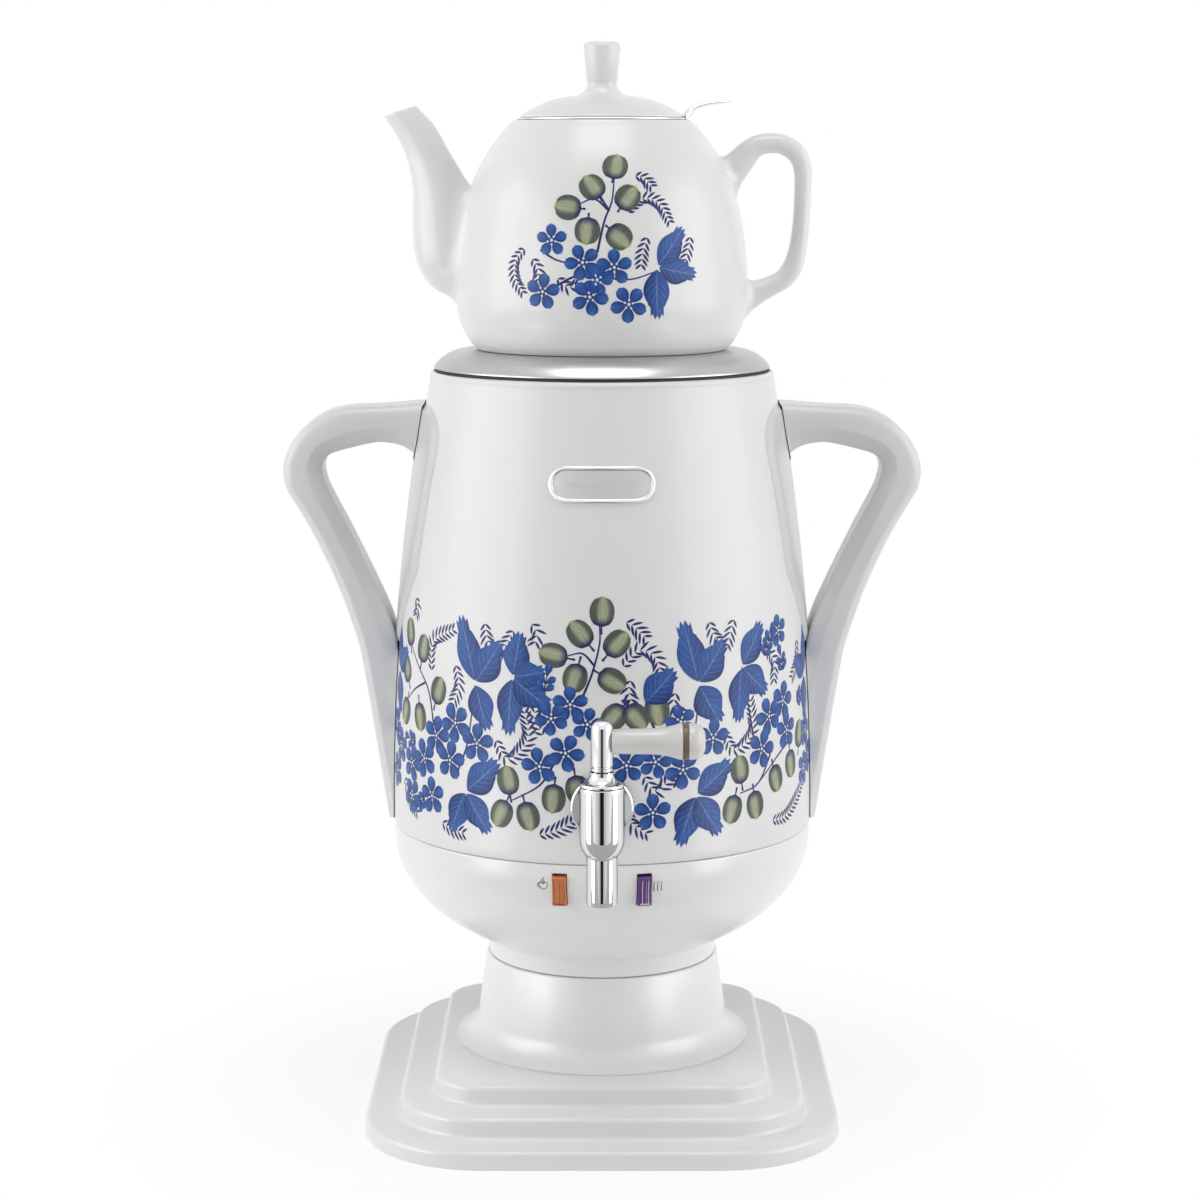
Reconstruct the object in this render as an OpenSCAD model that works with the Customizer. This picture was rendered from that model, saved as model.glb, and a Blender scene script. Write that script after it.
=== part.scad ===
// Electric samovar with a teapot on its warming plate.
// Millimetres. +Z is up, the tap faces -Y, and the origin lies on the body axis at the plinth's underside.

/* [Plinth] */
// Width of the lowest step, side to side
plinth_w = 203; // [198:1:220]
// Depth of the lowest step, front to back
plinth_d = 216; // [205:1:235]
// Corner radius of the lowest step
plinth_corner_r = 52; // [46:1:60]
// Tread of each step
plinth_tread = 15; // [12:0.5:16]
// Height of the lowest step
plinth_base_h = 8; // [7:0.5:10]
// Height of each upper step
plinth_step_h = 9.2; // [8:0.2:11]
// Wall of the plinth moulding
plinth_wall = 2.5; // [2:0.1:3]
// Thickness of the cover under the plinth
cover_t = 2; // [1.5:0.1:3]
// Radius of each rubber foot
foot_pad_r = 9; // [7:0.5:11]
// Height of each rubber foot
foot_pad_h = 1.6; // [1.2:0.1:2.4]

/* [Pedestal] */
// Height of the pedestal above the plinth
pedestal_h = 38.5; // [34:0.5:46]
// Outer radius at the top of the pedestal
pedestal_top_r = 51; // [49:0.5:53]
// Outer radius where the flare begins
pedestal_waist_r = 54.6; // [54:0.2:56]
// Radius of the concave flare at the foot
pedestal_flare_r = 10; // [8:0.5:11]
// Height of the edge under the flare
pedestal_lip_h = 0.9; // [0.6:0.1:1.5]
// Wall of the pedestal
pedestal_wall = 2.8; // [2:0.1:4]
// Radius of the tie rod through the pedestal
tie_rod_r = 3; // [2.5:0.5:4]

/* [Bowl] */
// Outer radius of the bowl
bowl_r = 91; // [86:0.5:96]
// Drop of the bowl's rounded underside from its widest point
bowl_drop = 55.6; // [50:0.2:60]
// Radius of the collar that stands on the pedestal
bowl_collar_r = 50; // [46:0.5:51]
// Height of the collar
bowl_collar_h = 8; // [6:0.2:10]
// Height of the straight rim above the widest point
bowl_rim_h = 5; // [4:0.2:9]
// Wall of the bowl
bowl_wall = 2.8; // [2:0.1:3.2]

/* [Casing] */
// Height of the casing
casing_h = 195.6; // [185:0.2:215]
// How far the casing's base stands out past the bowl
casing_proud = 0.5; // [0:0.1:1]
// Width of the casing's rim outside the tank
casing_rim_w = 5.1; // [4.6:0.1:8]
// Wall of the casing
casing_wall = 2.2; // [1.6:0.1:2.6]
// Open seam between the bowl and the casing
seam_gap = 0.4; // [0.2:0.1:0.6]

/* [Water tank] */
// Outer radius of the tank
tank_r = 68.5; // [62:0.5:72]
// Depth of the tank below the top of the casing
tank_depth = 187.5; // [175:0.5:187.5]
// Wall of the tank
tank_wall = 0.8; // [0.6:0.1:1]
// Thickness of the gasket ring under the warming plate
gasket_t = 0.9; // [0.6:0.1:1.5]

/* [Heater] */
// Radius of the heater plate
heater_r = 55; // [50:1:62]
// Thickness of the heater plate
heater_t = 3; // [2:0.5:3.5]
// Radius of the ring that the heating element makes
element_ring_r = 42; // [38:1:46]
// Radius of the heating element's sheath
element_r = 3.2; // [2.5:0.1:4]

/* [Warming plate] */
// How far the plate's edge lies inside the casing's outline
plate_inset = 1.3; // [0.6:0.1:2]
// Height of the raised seat above the rim
plate_rise = 7; // [5:0.5:10]
// Width of the domed slope round the flat seat
plate_slope_w = 13.8; // [12:0.2:16]
// Radius of the steam opening in the seat
steam_r = 22; // [16:1:36]
// Thickness of the plate
plate_t = 0.8; // [0.6:0.1:1.2]
// Depth of the four lugs that enter the tank
plate_collar_h = 7; // [5:0.5:10]
// Width of each lug
plate_lug_w = 16; // [10:1:24]

/* [Teapot] */
// Radius of the foot ring
pot_foot_r = 54; // [50:0.5:56]
// Largest outer radius
pot_belly_r = 62.7; // [58:0.1:68]
// Outer radius at the mouth
pot_mouth_r = 37.9; // [36:0.1:42]
// Height of the pot from its foot to its mouth
pot_h = 96.8; // [90:0.2:110]
// Wall of the pot
pot_wall = 3.5; // [3:0.1:4.5]
// Inner radius of the mouth
pot_throat_r = 31.5; // [29:0.1:34]
// Height of the recess inside the foot ring
pot_foot_h = 1.6; // [1:0.1:3]
// How far the handle reaches past the belly
pot_handle_reach = 26.6; // [22:0.2:32]
// Thickness of the handle from front to back
pot_handle_t = 11; // [8:0.5:14]

/* [Spout] */
// How far the middle of the lip reaches past the belly
spout_reach = 22.9; // [19:0.1:28]
// Inside wall of the spout
spout_wall = 2.4; // [2:0.1:3]
// Radius of the spout at its root
spout_root_r = 16; // [14:0.2:18]
// Radius of the spout at its lip
spout_lip_r = 7.2; // [6.4:0.1:8.5]

/* [Lid and strainer] */
// How far the lid's rim laps over the mouth
lid_lap = 3.4; // [2:0.1:4.4]
// Rise of the dome from the rim to the root of the knob
lid_rise = 8.4; // [6:0.2:11]
// Height of the knob above the dome
knob_h = 22.6; // [18:0.2:28]
// Radius at the top of the knob
knob_r = 8; // [7:0.1:10]
// Radius at the neck of the knob
knob_neck_r = 6.15; // [5:0.05:6.8]
// Wall of the lid
lid_wall = 3; // [2.4:0.1:3]
// Depth of the ring under the lid
lid_spigot_h = 9; // [6:0.5:12]
// Clearance of the strainer basket in the mouth
strainer_gap = 1.5; // [0.5:0.1:2.5]
// Depth of the strainer basket
strainer_h = 44; // [34:1:52]
// Wall of the strainer
strainer_wall = 0.6; // [0.5:0.1:0.8]
// Width of the strainer's thumb tab
tab_w = 15; // [11:0.5:19]
// Thickness of the thumb tab
tab_t = 1.5; // [1.2:0.1:2]

/* [Side handles] */
// How far each grip stands out past the base of the casing
handle_reach = 45.4; // [42:0.2:56]
// Depth of the grip from front to back
handle_depth = 26; // [22:1:30]
// How far each side pad stands proud of the casing
pad_t = 1.6; // [1.2:0.1:2.4]
// Half width of each side pad
pad_half_w = 38; // [34:1:42]
// Shank radius of the handle screws
handle_screw_r = 1.8; // [1.5:0.1:2.2]

/* [Badge] */
// Length of the blank badge
badge_w = 43.6; // [38:0.2:50]
// Height of the blank badge
badge_h = 14.8; // [12:0.2:18]
// Thickness of the badge's field
badge_t = 0.9; // [0.7:0.1:1.4]
// Width of the badge's raised rim
badge_rim_w = 1.7; // [1.2:0.1:2.4]
// Height of the badge's centre above the casing's base
badge_z = 155.6; // [120:0.2:170]

/* [Switches] */
// Width of each rocker
rocker_w = 5.7; // [5:0.1:7]
// Height of each rocker
rocker_h = 12.2; // [11:0.2:14]
// Tilt of each rocker to either side of centre
rocker_tilt = 4; // [3:0.5:6]
// Angle of each switch to either side of the tap
switch_angle = 11.1; // [10:0.1:20]
// Depth of each switch housing
switch_depth = 13; // [11:0.5:16]

/* [Tap] */
// Height of the tap's shank above the tank's floor
tap_z = 16.9; // [14:0.1:24]
// Distance of the tap's axis from the casing
tap_standoff = 33.6; // [28:0.2:42]
// Outer radius of the tap's barrel
tap_r = 9; // [8.6:0.1:11]
// Length of the tap's barrel
tap_barrel_h = 21.6; // [20:0.2:26]
// Outer radius of the nozzle
nozzle_r = 6.2; // [5.8:0.1:7]
// Length of the nozzle
nozzle_h = 20.1; // [16:0.1:26]
// Radius of the bore in the nozzle
nozzle_bore_r = 4.4; // [3.8:0.1:4.6]
// Radius of the turning plug
plug_r = 5.9; // [5.6:0.1:6.2]
// Radius of the stem on the plug
stem_r = 3.3; // [2.8:0.1:3.6]
// Radius of the tap's head
head_r = 4.45; // [4.2:0.05:5.5]
// Height of the tap's head
head_h = 18.4; // [17:0.2:22]
// Radius of the flange on the casing
tap_flange_r = 13; // [11.5:0.5:15]
// Radius of the shank through the wall
shank_r = 5.8; // [5:0.1:6]
// Radius of the water way in the shank
waterway_r = 3; // [2.5:0.1:3.2]
// Length of the lever from the tap's axis
lever_l = 40.9; // [36:0.1:50]
// Radius of the lever at its root
lever_root_r = 5; // [4.4:0.1:5.6]
// Largest radius of the lever
lever_end_r = 7.35; // [6.4:0.05:8.5]
// Width of the band round the lever
lever_band_w = 2.4; // [1.6:0.1:3.2]

/* [Power inlet] */
// Width of the inlet's body
inlet_w = 28; // [27:0.5:32]
// Height of the inlet's body
inlet_h = 19; // [18:0.5:20]
// Depth of the inlet's body
inlet_depth = 24; // [22:0.5:28]
// Depth of the inlet's socket
socket_depth = 16; // [15:0.5:17]
// Length of the contact blades
blade_l = 10.5; // [9:0.5:11]

/* [Clearances] */
// Gap between pieces that are fixed together
fit_gap = 0.1; // [0.05:0.05:0.2]
// Gap under pieces that lift off
seat_gap = 0.2; // [0.1:0.05:0.3]
// Radial clearance of parts that turn in a bore
run_gap = 0.06; // [0.03:0.01:0.09]
// Clearance of a screw in its hole
screw_gap = 0.15; // [0.1:0.05:0.3]

/* [Hidden] */
$fn = 96;

// A cut reaches this far past the face that it opens
over = 1;

// Plinth
step_count = 3;
platform_z = plinth_base_h + (step_count - 1) * plinth_step_h;
platform_x = plinth_w / 2 - (step_count - 1) * plinth_tread;
platform_y = plinth_d / 2 - (step_count - 1) * plinth_tread;
cover_top_z = foot_pad_h + cover_t;
cover_inset = plinth_wall + fit_gap;
cover_screw_r = 1.5;
cover_screw_grip = 10;
cover_boss_r = 4.5;
cover_boss_inset = 14;
cover_boss_x = platform_x - cover_boss_inset;
cover_boss_y = platform_y - cover_boss_inset;
foot_pad_inset = 24;
foot_pad_x = plinth_w / 2 - foot_pad_inset;
foot_pad_y = plinth_d / 2 - foot_pad_inset;

// Pedestal and tie rod
pedestal_z = platform_z + fit_gap;
pedestal_top_z = platform_z + pedestal_h;
pedestal_foot_r = pedestal_waist_r + pedestal_flare_r;
rod_hole_r = tie_rod_r + screw_gap;
rod_washer_r = 4 * tie_rod_r;
rod_washer_t = 1.6;
rod_nut_r = 1.9 * tie_rod_r;
rod_nut_h = 1.7 * tie_rod_r;
rod_end = 3;

// Bowl
bowl_z = pedestal_top_z + 0.3;
bowl_floor_z = bowl_z + bowl_wall;
bowl_collar_z = bowl_z + bowl_collar_h;
bowl_wide_z = bowl_collar_z + bowl_drop * sqrt(1 - pow(bowl_collar_r / bowl_r, 2));
bowl_top_z = bowl_wide_z + bowl_rim_h;
bowl_start_angle = acos(bowl_collar_r / bowl_r);
flange_t = 2.6;
flange_w = 11;

// Casing
casing_base_r = bowl_r + casing_proud;
casing_top_r = tank_r + casing_rim_w;
casing_z = bowl_top_z + seam_gap;
casing_top_z = casing_z + casing_h;
casing_in = casing_base_r - casing_top_r;
casing_arc_r = (pow(casing_h, 2) + pow(casing_in, 2)) / (2 * casing_in);
casing_edge = 1.6;
joint_r = min(bowl_r, casing_base_r);
flange_r = joint_r - max(bowl_wall, casing_wall) - flange_w;
casing_screw_r = 1.5;
casing_screw_pcr = flange_r + 0.4 * flange_w;
casing_screw_angles = [45, 135, 225, 315];

// Tank, gasket and heater
tank_hole_r = tank_r + fit_gap;
tank_flange_z = casing_top_z + fit_gap;
tank_flange_r = casing_top_r - casing_edge;
tank_floor_z = casing_top_z - tank_depth;
gasket_z = tank_flange_z + tank_wall + fit_gap;
gasket_w = 2.6;
heater_z = tank_floor_z - fit_gap - heater_t;
element_z = heater_z - fit_gap - element_r;
element_sweep = 320;
element_tail = 14;
tail_angle = 4;
thermostat_r = 8;
thermostat_h = 9;
cutout_size = [9, 20, 6];
cutout_x = 22;

// Warming plate
plate_r = casing_top_r - plate_inset;
plate_seat_r = plate_r - plate_slope_w;
plate_z = gasket_z + gasket_t + seat_gap;
plate_seat_z = plate_z + plate_t + plate_rise;
plate_collar_r = tank_r - tank_wall - 0.5;
plate_mid = [plate_seat_r + 0.64 * (plate_r - plate_seat_r), plate_z + plate_t + 0.66 * plate_rise];

// Teapot
pot_z = plate_seat_z + seat_gap;
pot_top_z = pot_z + pot_h;
pot_belly_z = pot_z + 0.22 * pot_h;
pot_shoulder = [pot_mouth_r + 0.78 * (pot_belly_r - pot_mouth_r), pot_z + 0.68 * pot_h];
pot_floor_z = pot_z + pot_foot_h + pot_wall;
pot_foot_w = 4;
bore_end = 6;
pot_lip_h = 2.4;

// Strainer and lid
strainer_r = pot_throat_r - strainer_gap;
lid_r = pot_throat_r + lid_lap;
strainer_z = pot_top_z + seat_gap;
strainer_flange_r = lid_r + 1.4;
strainer_flange_t = 0.8;
tab_lift = 3.8;
tab_rise = 3.2;
tab_reach = 19.4;
lid_z = strainer_z + strainer_flange_t + seat_gap;
lid_edge_h = 0.7;
knob_root_z = lid_z + lid_edge_h + lid_rise;
knob_top_z = knob_root_z + knob_h;
knob_root_r = 1.9 * knob_neck_r;
lid_spigot_r = strainer_r - strainer_wall - 0.6;
hole_r = 1;

// Handles
handle_joint_z = casing_z + 0.936 * casing_h;
handle_end_z = casing_z + 1.4;
handle_bed = 14;
pad_top_z = handle_joint_z - 0.2;
pad_end_z = casing_z + 0.409 * casing_h;
handle_screw_levels = [casing_z + 0.88 * casing_h, casing_z + 0.23 * casing_h];
handle_screw_l = 10;
screw_head_r = 2 * handle_screw_r;
screw_head_t = 1.6;

// Switches
switch_z = bowl_wide_z - 5.6;
switch_slack = 0.35;
switch_wall = 1.3;
pivot_depth = 5.2;
pivot_pin_r = 1;
slot_h = rocker_h + 2 * (pivot_depth + 2) * sin(rocker_tilt) + 2 * switch_slack;
slot_cut = 20;

// Tap
shank_z = tank_floor_z + tap_z;
tap_y = -(casing_r(shank_z) + tap_standoff);
barrel_top_z = shank_z + 0.71 * tap_barrel_h;
barrel_z = barrel_top_z - tap_barrel_h;
barrel_taper = 6.5;
nozzle_top_z = barrel_z - barrel_taper;
nozzle_z = nozzle_top_z - nozzle_h;
chamber_r = plug_r + run_gap;
chamber_z = barrel_z + 1.4;
bonnet_r = tap_r - 1.7;
bonnet_spigot_h = 4;
bonnet_h = 6;
bonnet_top_z = barrel_top_z + fit_gap + bonnet_h;
plug_top_z = barrel_top_z - bonnet_spigot_h - 1;
head_z = bonnet_top_z + 0.5;
head_groove_h = 1.8;
head_top_z = head_z + head_h + head_groove_h;
lever_z = head_top_z - 8.5;
lever_bore_r = 2.2;
lever_pin_r = 3;
band_x = lever_l - 6.6 - lever_band_w;
washer_face_y = -(casing_r(shank_z) + 2.4);
tank_face_y = tank_wall - tank_r;
tap_flange_t = 2.2;
spacer_r = shank_r + 2.4;
tank_seal_t = 1.7;
nut_t = 4.5;
nut_r = shank_r + 3.2;

// Power inlet
inlet_z = bowl_wide_z - 8.8;
inlet_face_y = bowl_r + 0.6;
inlet_pad_margin = 4;
socket_wall = 2;
blade_pitch = 7;
blade_size = [2, 4];

// ---- Curves ----

// Centre of the circle through three points
function centre3(a, b, c) =
    let (d = 2 * (a.x * (b.y - c.y) + b.x * (c.y - a.y) + c.x * (a.y - b.y)))
    [((a * a) * (b.y - c.y) + (b * b) * (c.y - a.y) + (c * c) * (a.y - b.y)) / d,
     ((a * a) * (c.x - b.x) + (b * b) * (a.x - c.x) + (c * c) * (b.x - a.x)) / d];

function turn(a) = a - 360 * floor(a / 360);

// n + 1 points on the arc from a through b to c
function arc3(a, b, c, n = 8) =
    let (o = centre3(a, b, c), r = norm(a - o),
         ta = atan2(a.y - o.y, a.x - o.x),
         tb = turn(atan2(b.y - o.y, b.x - o.x) - ta),
         tc = turn(atan2(c.y - o.y, c.x - o.x) - ta),
         sweep = tb < tc ? tc : tc - 360)
    [for (i = [0 : n]) o + r * [cos(ta + sweep * i / n), sin(ta + sweep * i / n)]];

// A line of points moved t to its left
function inset(p, t) =
    [for (i = [0 : len(p) - 1])
        let (d = p[min(i + 1, len(p) - 1)] - p[max(i - 1, 0)])
        p[i] + t * [-d.y, d.x] / norm(d)];

function flip(p) = [for (i = [len(p) - 1 : -1 : 0]) p[i]];

function mix(a, b, t) = a + (b - a) * t;

// Outer radius of the casing at height z
function casing_r(z) = casing_base_r - casing_arc_r + sqrt(pow(casing_arc_r, 2) - pow(z - casing_z, 2));

// Outer radius of the bowl below its widest point
function bowl_curve(angle) =
    [bowl_r * cos(angle), bowl_wide_z - bowl_drop * sin(angle)];

casing_steps = 24;
casing_curve = [for (i = [0 : casing_steps])
    let (z = casing_z + i * (casing_h - casing_edge) / casing_steps) [casing_r(z), z]];
bowl_steps = 20;
bowl_outer = concat(
    [for (i = [0 : bowl_steps]) bowl_curve(bowl_start_angle * (1 - i / bowl_steps))],
    [[bowl_r, bowl_top_z]]);
bowl_inner = inset(bowl_outer, bowl_wall);

// Teapot profile from the foot to the mouth
pot_outer = concat(
    arc3([pot_foot_r, pot_z], [mix(pot_foot_r, pot_belly_r, 0.8), mix(pot_z, pot_belly_z, 0.56)],
         [pot_belly_r, pot_belly_z], 8),
    arc3([pot_belly_r, pot_belly_z + 0.5],
         [mix(pot_shoulder.x, pot_belly_r, 0.67), mix(pot_belly_z, pot_shoulder.y, 0.59)], pot_shoulder, 8),
    arc3(pot_shoulder + [-0.15, 0.5],
         [mix(pot_mouth_r, pot_shoulder.x, 0.66), mix(pot_shoulder.y, pot_top_z, 0.47)],
         [pot_mouth_r, pot_top_z], 8));
pot_inner = inset(pot_outer, pot_wall);
function in_pot(p) = p.y > pot_floor_z + 3 && p.y < pot_top_z - pot_lip_h && p.x > pot_throat_r;
pot_cavity = concat([[0, pot_floor_z], [pot_foot_r - 3, pot_floor_z]],
                    [for (p = pot_inner) if (in_pot(p)) p],
                    [[pot_throat_r, pot_top_z - pot_lip_h], [pot_throat_r, pot_top_z + over],
                     [0, pot_top_z + over]]);

// A station of the spout: share of its reach past the belly, share of the pot's height, tilt of the section,
// share of the way from the lip's radius to the root's
function station(u, v, tilt, w) =
    [pot_belly_r + u * spout_reach, v * pot_h, tilt, mix(spout_lip_r, spout_root_r, w)];
spout_stations = [
    station(-0.4, 0.382, 66, 1),
    station(-0.096, 0.384, 52, 1),
    station(0.109, 0.449, 30, 0.977),
    station(0.188, 0.5785, 10, 0.795),
    station(0.297, 0.723, 8, 0.477),
    station(0.502, 0.847, 18, 0.205),
    station(0.707, 0.945, 25, 0.102),
    station(1, 1.037, 17, 0)
];
spout_steps = 3;
spout_sides = 24;

// Smooth value between stations p1 and p2
function blend(p0, p1, p2, p3, t) =
    0.5 * (2 * p1 + (p2 - p0) * t + (2 * p0 - 5 * p1 + 4 * p2 - p3) * t * t
           + (3 * p1 - p0 - 3 * p2 + p3) * t * t * t);

spout_last = len(spout_stations) - 1;
spout_rings = concat([for (i = [0 : spout_last - 1], j = [0 : spout_steps - 1])
    blend(spout_stations[max(i - 1, 0)], spout_stations[i], spout_stations[i + 1],
          spout_stations[min(i + 2, spout_last)], j / spout_steps)], [spout_stations[spout_last]]);

// A tube along the spout's rings, with its wall cut back by t and its ends moved out by ends
module spout_tube(t, ends) {
    n = spout_sides;
    m = len(spout_rings);
    points = [for (k = [0 : m - 1], s = [0 : n - 1])
        let (g = spout_rings[k], r = g[3] - t, a = 360 * s / n,
             move = k == 0 ? -ends : k == m - 1 ? ends : 0,
             u = r * cos(a), c = cos(g[2]), w = sin(g[2]))
        [-(g[0] + w * move) + u * c, r * sin(a), pot_z + g[1] + c * move + u * w]];
    sides = [for (k = [0 : m - 2], s = [0 : n - 1])
        [k * n + s, (k + 1) * n + s, (k + 1) * n + (s + 1) % n, k * n + (s + 1) % n]];
    floor_face = [for (s = [0 : n - 1]) s];
    lip_face = [for (s = [n - 1 : -1 : 0]) (m - 1) * n + s];
    polyhedron(points, concat([floor_face, lip_face], sides), convexity = 6);
}

// A point of the side handle's outline: share of the reach past the casing's base,
// share of the casing's height
function hp(u, v) = [casing_base_r + u * handle_reach, casing_z + v * casing_h];
handle_outline = concat(
    [[casing_top_r - handle_bed, handle_joint_z - casing_in / 4],
     [casing_top_r - handle_bed, handle_joint_z]],
    arc3(hp(0.15, 0.925), hp(0.83, 0.876), hp(1.015, 0.789), 12),
    arc3(hp(1.01, 0.7745), hp(0.985, 0.7515), hp(0.92, 0.723), 4),
    arc3(hp(0.9, 0.7137), hp(0.65, 0.6074), hp(0.3, 0.3885), 6),
    arc3(hp(0.28, 0.3655), hp(0.17, 0.2096), hp(0.06, 0.041), 6),
    [[casing_base_r + 0.6, handle_end_z], [casing_base_r - handle_bed, handle_end_z],
     [casing_base_r - handle_bed, pad_end_z]]);
handle_gap = concat(
    arc3(hp(-0.35, 0.7975), hp(-0.09, 0.8436), hp(0.2, 0.8441), 6),
    arc3(hp(0.44, 0.8308), hp(0.68, 0.795), hp(0.63, 0.7592), 6),
    arc3(hp(0.52, 0.7147), hp(0.23, 0.5803), hp(-0.02, 0.4448), 6),
    [hp(-0.13, 0.3988), hp(-0.65, 0.3988), hp(-0.87, 0.7975)]);

// ---- Shared shapes ----

module rounded_plate(x, y, r, h) {
    linear_extrude(h) {
        square([2 * (x - r), 2 * y], center = true);
        square([2 * x, 2 * (y - r)], center = true);
        for (i = [-1, 1], j = [-1, 1]) translate([i * (x - r), j * (y - r)]) circle(r);
    }
}

module plinth_steps(inset_by, drop) {
    for (i = [0 : step_count - 1])
        let (cut = i * plinth_tread + inset_by)
        rounded_plate(plinth_w / 2 - cut, plinth_d / 2 - cut, plinth_corner_r - cut,
                      plinth_base_h + i * plinth_step_h - drop);
}

module at_corners(x, y) {
    for (i = [-1, 1], j = [-1, 1]) translate([i * x, j * y]) children();
}

module around(angles, r) {
    for (a = angles) rotate([0, 0, a]) translate([r, 0]) children();
}

// An outline of x and z, with the thickness t centred on y = 0
module slab(outline, t) {
    rotate([90, 0, 0]) linear_extrude(t, center = true) polygon(outline);
}

// A cylinder along y from y0 to y1
module bar_y(r, y0, y1) {
    translate([0, y0, 0]) rotate([-90, 0, 0]) cylinder(r = r, h = y1 - y0);
}

// A cylinder along x from x0 to x1
module bar_x(r, x0, x1) {
    translate([x0, 0, 0]) rotate([0, 90, 0]) cylinder(r = r, h = x1 - x0);
}

// A straight rod from a to b
module wire(a, b, r) {
    d = b - a;
    translate(a) rotate([0, acos(d.z / norm(d)), atan2(d.y, d.x)]) cylinder(r = r, h = norm(d));
}

// The outside of a wall that leans from radius r0 at z0 to r1 at z1, fine enough to seal against
module seal_wall(r0, r1, z0, z1) {
    translate([0, 0, z0]) cylinder(r1 = r0, r2 = r1, h = z1 - z0, $fn = 720);
}

module hex_nut(r, h, hole) {
    difference() {
        cylinder(r = r, h = h, $fn = 6);
        translate([0, 0, -over]) cylinder(r = hole, h = h + 2 * over);
    }
}

// The casing's outside, grown by g
module casing_envelope(g) {
    rotate_extrude() polygon(concat(
        [[0, casing_z - 10], [casing_base_r + g, casing_z - 10]],
        [for (p = casing_curve) p + [g, 0]],
        [[casing_top_r + g - casing_edge, casing_top_z + 10], [0, casing_top_z + 10]]));
}

// A skin on the casing from g0 to g1 proud of it
module casing_skin(g0, g1) {
    rotate_extrude() polygon(concat([for (p = casing_curve) p + [g1, 0]],
                                    flip([for (p = casing_curve) p + [g0, 0]])));
}

module stadium(w, h) {
    square([w - h, h], center = true);
    for (i = [-1, 1]) translate([i * (w - h) / 2, 0]) circle(h / 2);
}

module handle_screw_axes() {
    for (i = [-1, 1], z = handle_screw_levels) translate([0, 0, z]) mirror([i < 0 ? 1 : 0, 0, 0]) children();
}

module place_switch(side) {
    rotate([0, 0, side * switch_angle]) translate([0, -bowl_r, switch_z]) children();
}

// ---- Base ----

module plinth() {
    color("gainsboro") difference() {
        union() {
            difference() {
                plinth_steps(0, 0);
                translate([0, 0, -over]) plinth_steps(plinth_wall, plinth_wall - over);
            }
            at_corners(cover_boss_x, cover_boss_y)
                translate([0, 0, cover_top_z + fit_gap])
                cylinder(r = cover_boss_r, h = platform_z - cover_top_z - fit_gap - plinth_wall / 2);
        }
        translate([0, 0, platform_z - plinth_wall - over])
            cylinder(r = rod_hole_r, h = plinth_wall + 2 * over);
        at_corners(cover_boss_x, cover_boss_y)
            cylinder(r = cover_screw_r + screw_gap, h = platform_z - plinth_wall - 2);
    }
}

module base_cover() {
    color("dimgray") difference() {
        translate([0, 0, foot_pad_h])
            rounded_plate(plinth_w / 2 - cover_inset, plinth_d / 2 - cover_inset,
                          plinth_corner_r - cover_inset, cover_t);
        at_corners(cover_boss_x, cover_boss_y)
            cylinder(r = cover_screw_r + screw_gap, h = cover_top_z + over);
        cylinder(r = rod_washer_r, h = cover_top_z + over);
    }
}

module rubber_feet() {
    color("black") at_corners(foot_pad_x, foot_pad_y) cylinder(r = foot_pad_r, h = foot_pad_h);
}

module cover_screws() {
    head_t = foot_pad_h - 0.4;
    color("silver") at_corners(cover_boss_x, cover_boss_y) translate([0, 0, foot_pad_h - head_t]) {
        cylinder(r = 2 * cover_screw_r, h = head_t);
        cylinder(r = cover_screw_r, h = head_t + cover_t + cover_screw_grip);
    }
}

module pedestal() {
    flare_z = pedestal_z + pedestal_lip_h + pedestal_flare_r;
    flare = [for (i = [0 : 8])
        [pedestal_foot_r, flare_z] + pedestal_flare_r * [cos(180 + 90 * i / 8), sin(180 + 90 * i / 8)]];
    color("whitesmoke") rotate_extrude() polygon(concat(
        [[rod_hole_r, pedestal_top_z], [pedestal_top_r, pedestal_top_z]], flare,
        [[pedestal_foot_r, pedestal_z], [pedestal_waist_r - pedestal_wall, pedestal_z],
         [pedestal_waist_r - pedestal_wall, flare_z],
         [pedestal_top_r - pedestal_wall, pedestal_top_z - pedestal_wall],
         [rod_hole_r, pedestal_top_z - pedestal_wall]]));
}

rod_low_z = platform_z - plinth_wall - fit_gap - rod_washer_t - fit_gap - rod_nut_h - rod_end;
rod_high_z = bowl_floor_z + fit_gap + rod_washer_t + fit_gap + rod_nut_h + rod_end;

module tie_rod() {
    color("silver") translate([0, 0, rod_low_z]) cylinder(r = tie_rod_r, h = rod_high_z - rod_low_z);
}

module tie_rod_nuts() {
    color("silver") for (z = [rod_low_z + rod_end, rod_high_z - rod_end - rod_nut_h])
        translate([0, 0, z]) hex_nut(rod_nut_r, rod_nut_h, tie_rod_r + fit_gap);
}

module tie_rod_washers() {
    color("silver")
        for (z = [platform_z - plinth_wall - fit_gap - rod_washer_t, bowl_floor_z + fit_gap])
        translate([0, 0, z]) difference() {
            cylinder(r = rod_washer_r, h = rod_washer_t);
            translate([0, 0, -over]) cylinder(r = tie_rod_r + fit_gap, h = rod_washer_t + 2 * over);
        }
}

// ---- Bowl and casing ----

module bowl_shell() {
    rotate_extrude() polygon(concat(
        [[rod_hole_r, bowl_z], [bowl_collar_r, bowl_z]], bowl_outer,
        [[flange_r, bowl_top_z], [flange_r, bowl_top_z - flange_t],
         [bowl_r - bowl_wall, bowl_top_z - flange_t]],
        flip([for (p = bowl_inner) if (p.y < bowl_top_z - flange_t - 0.5) p]),
        [[bowl_collar_r - bowl_wall, bowl_floor_z], [rod_hole_r, bowl_floor_z]]));
}

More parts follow.
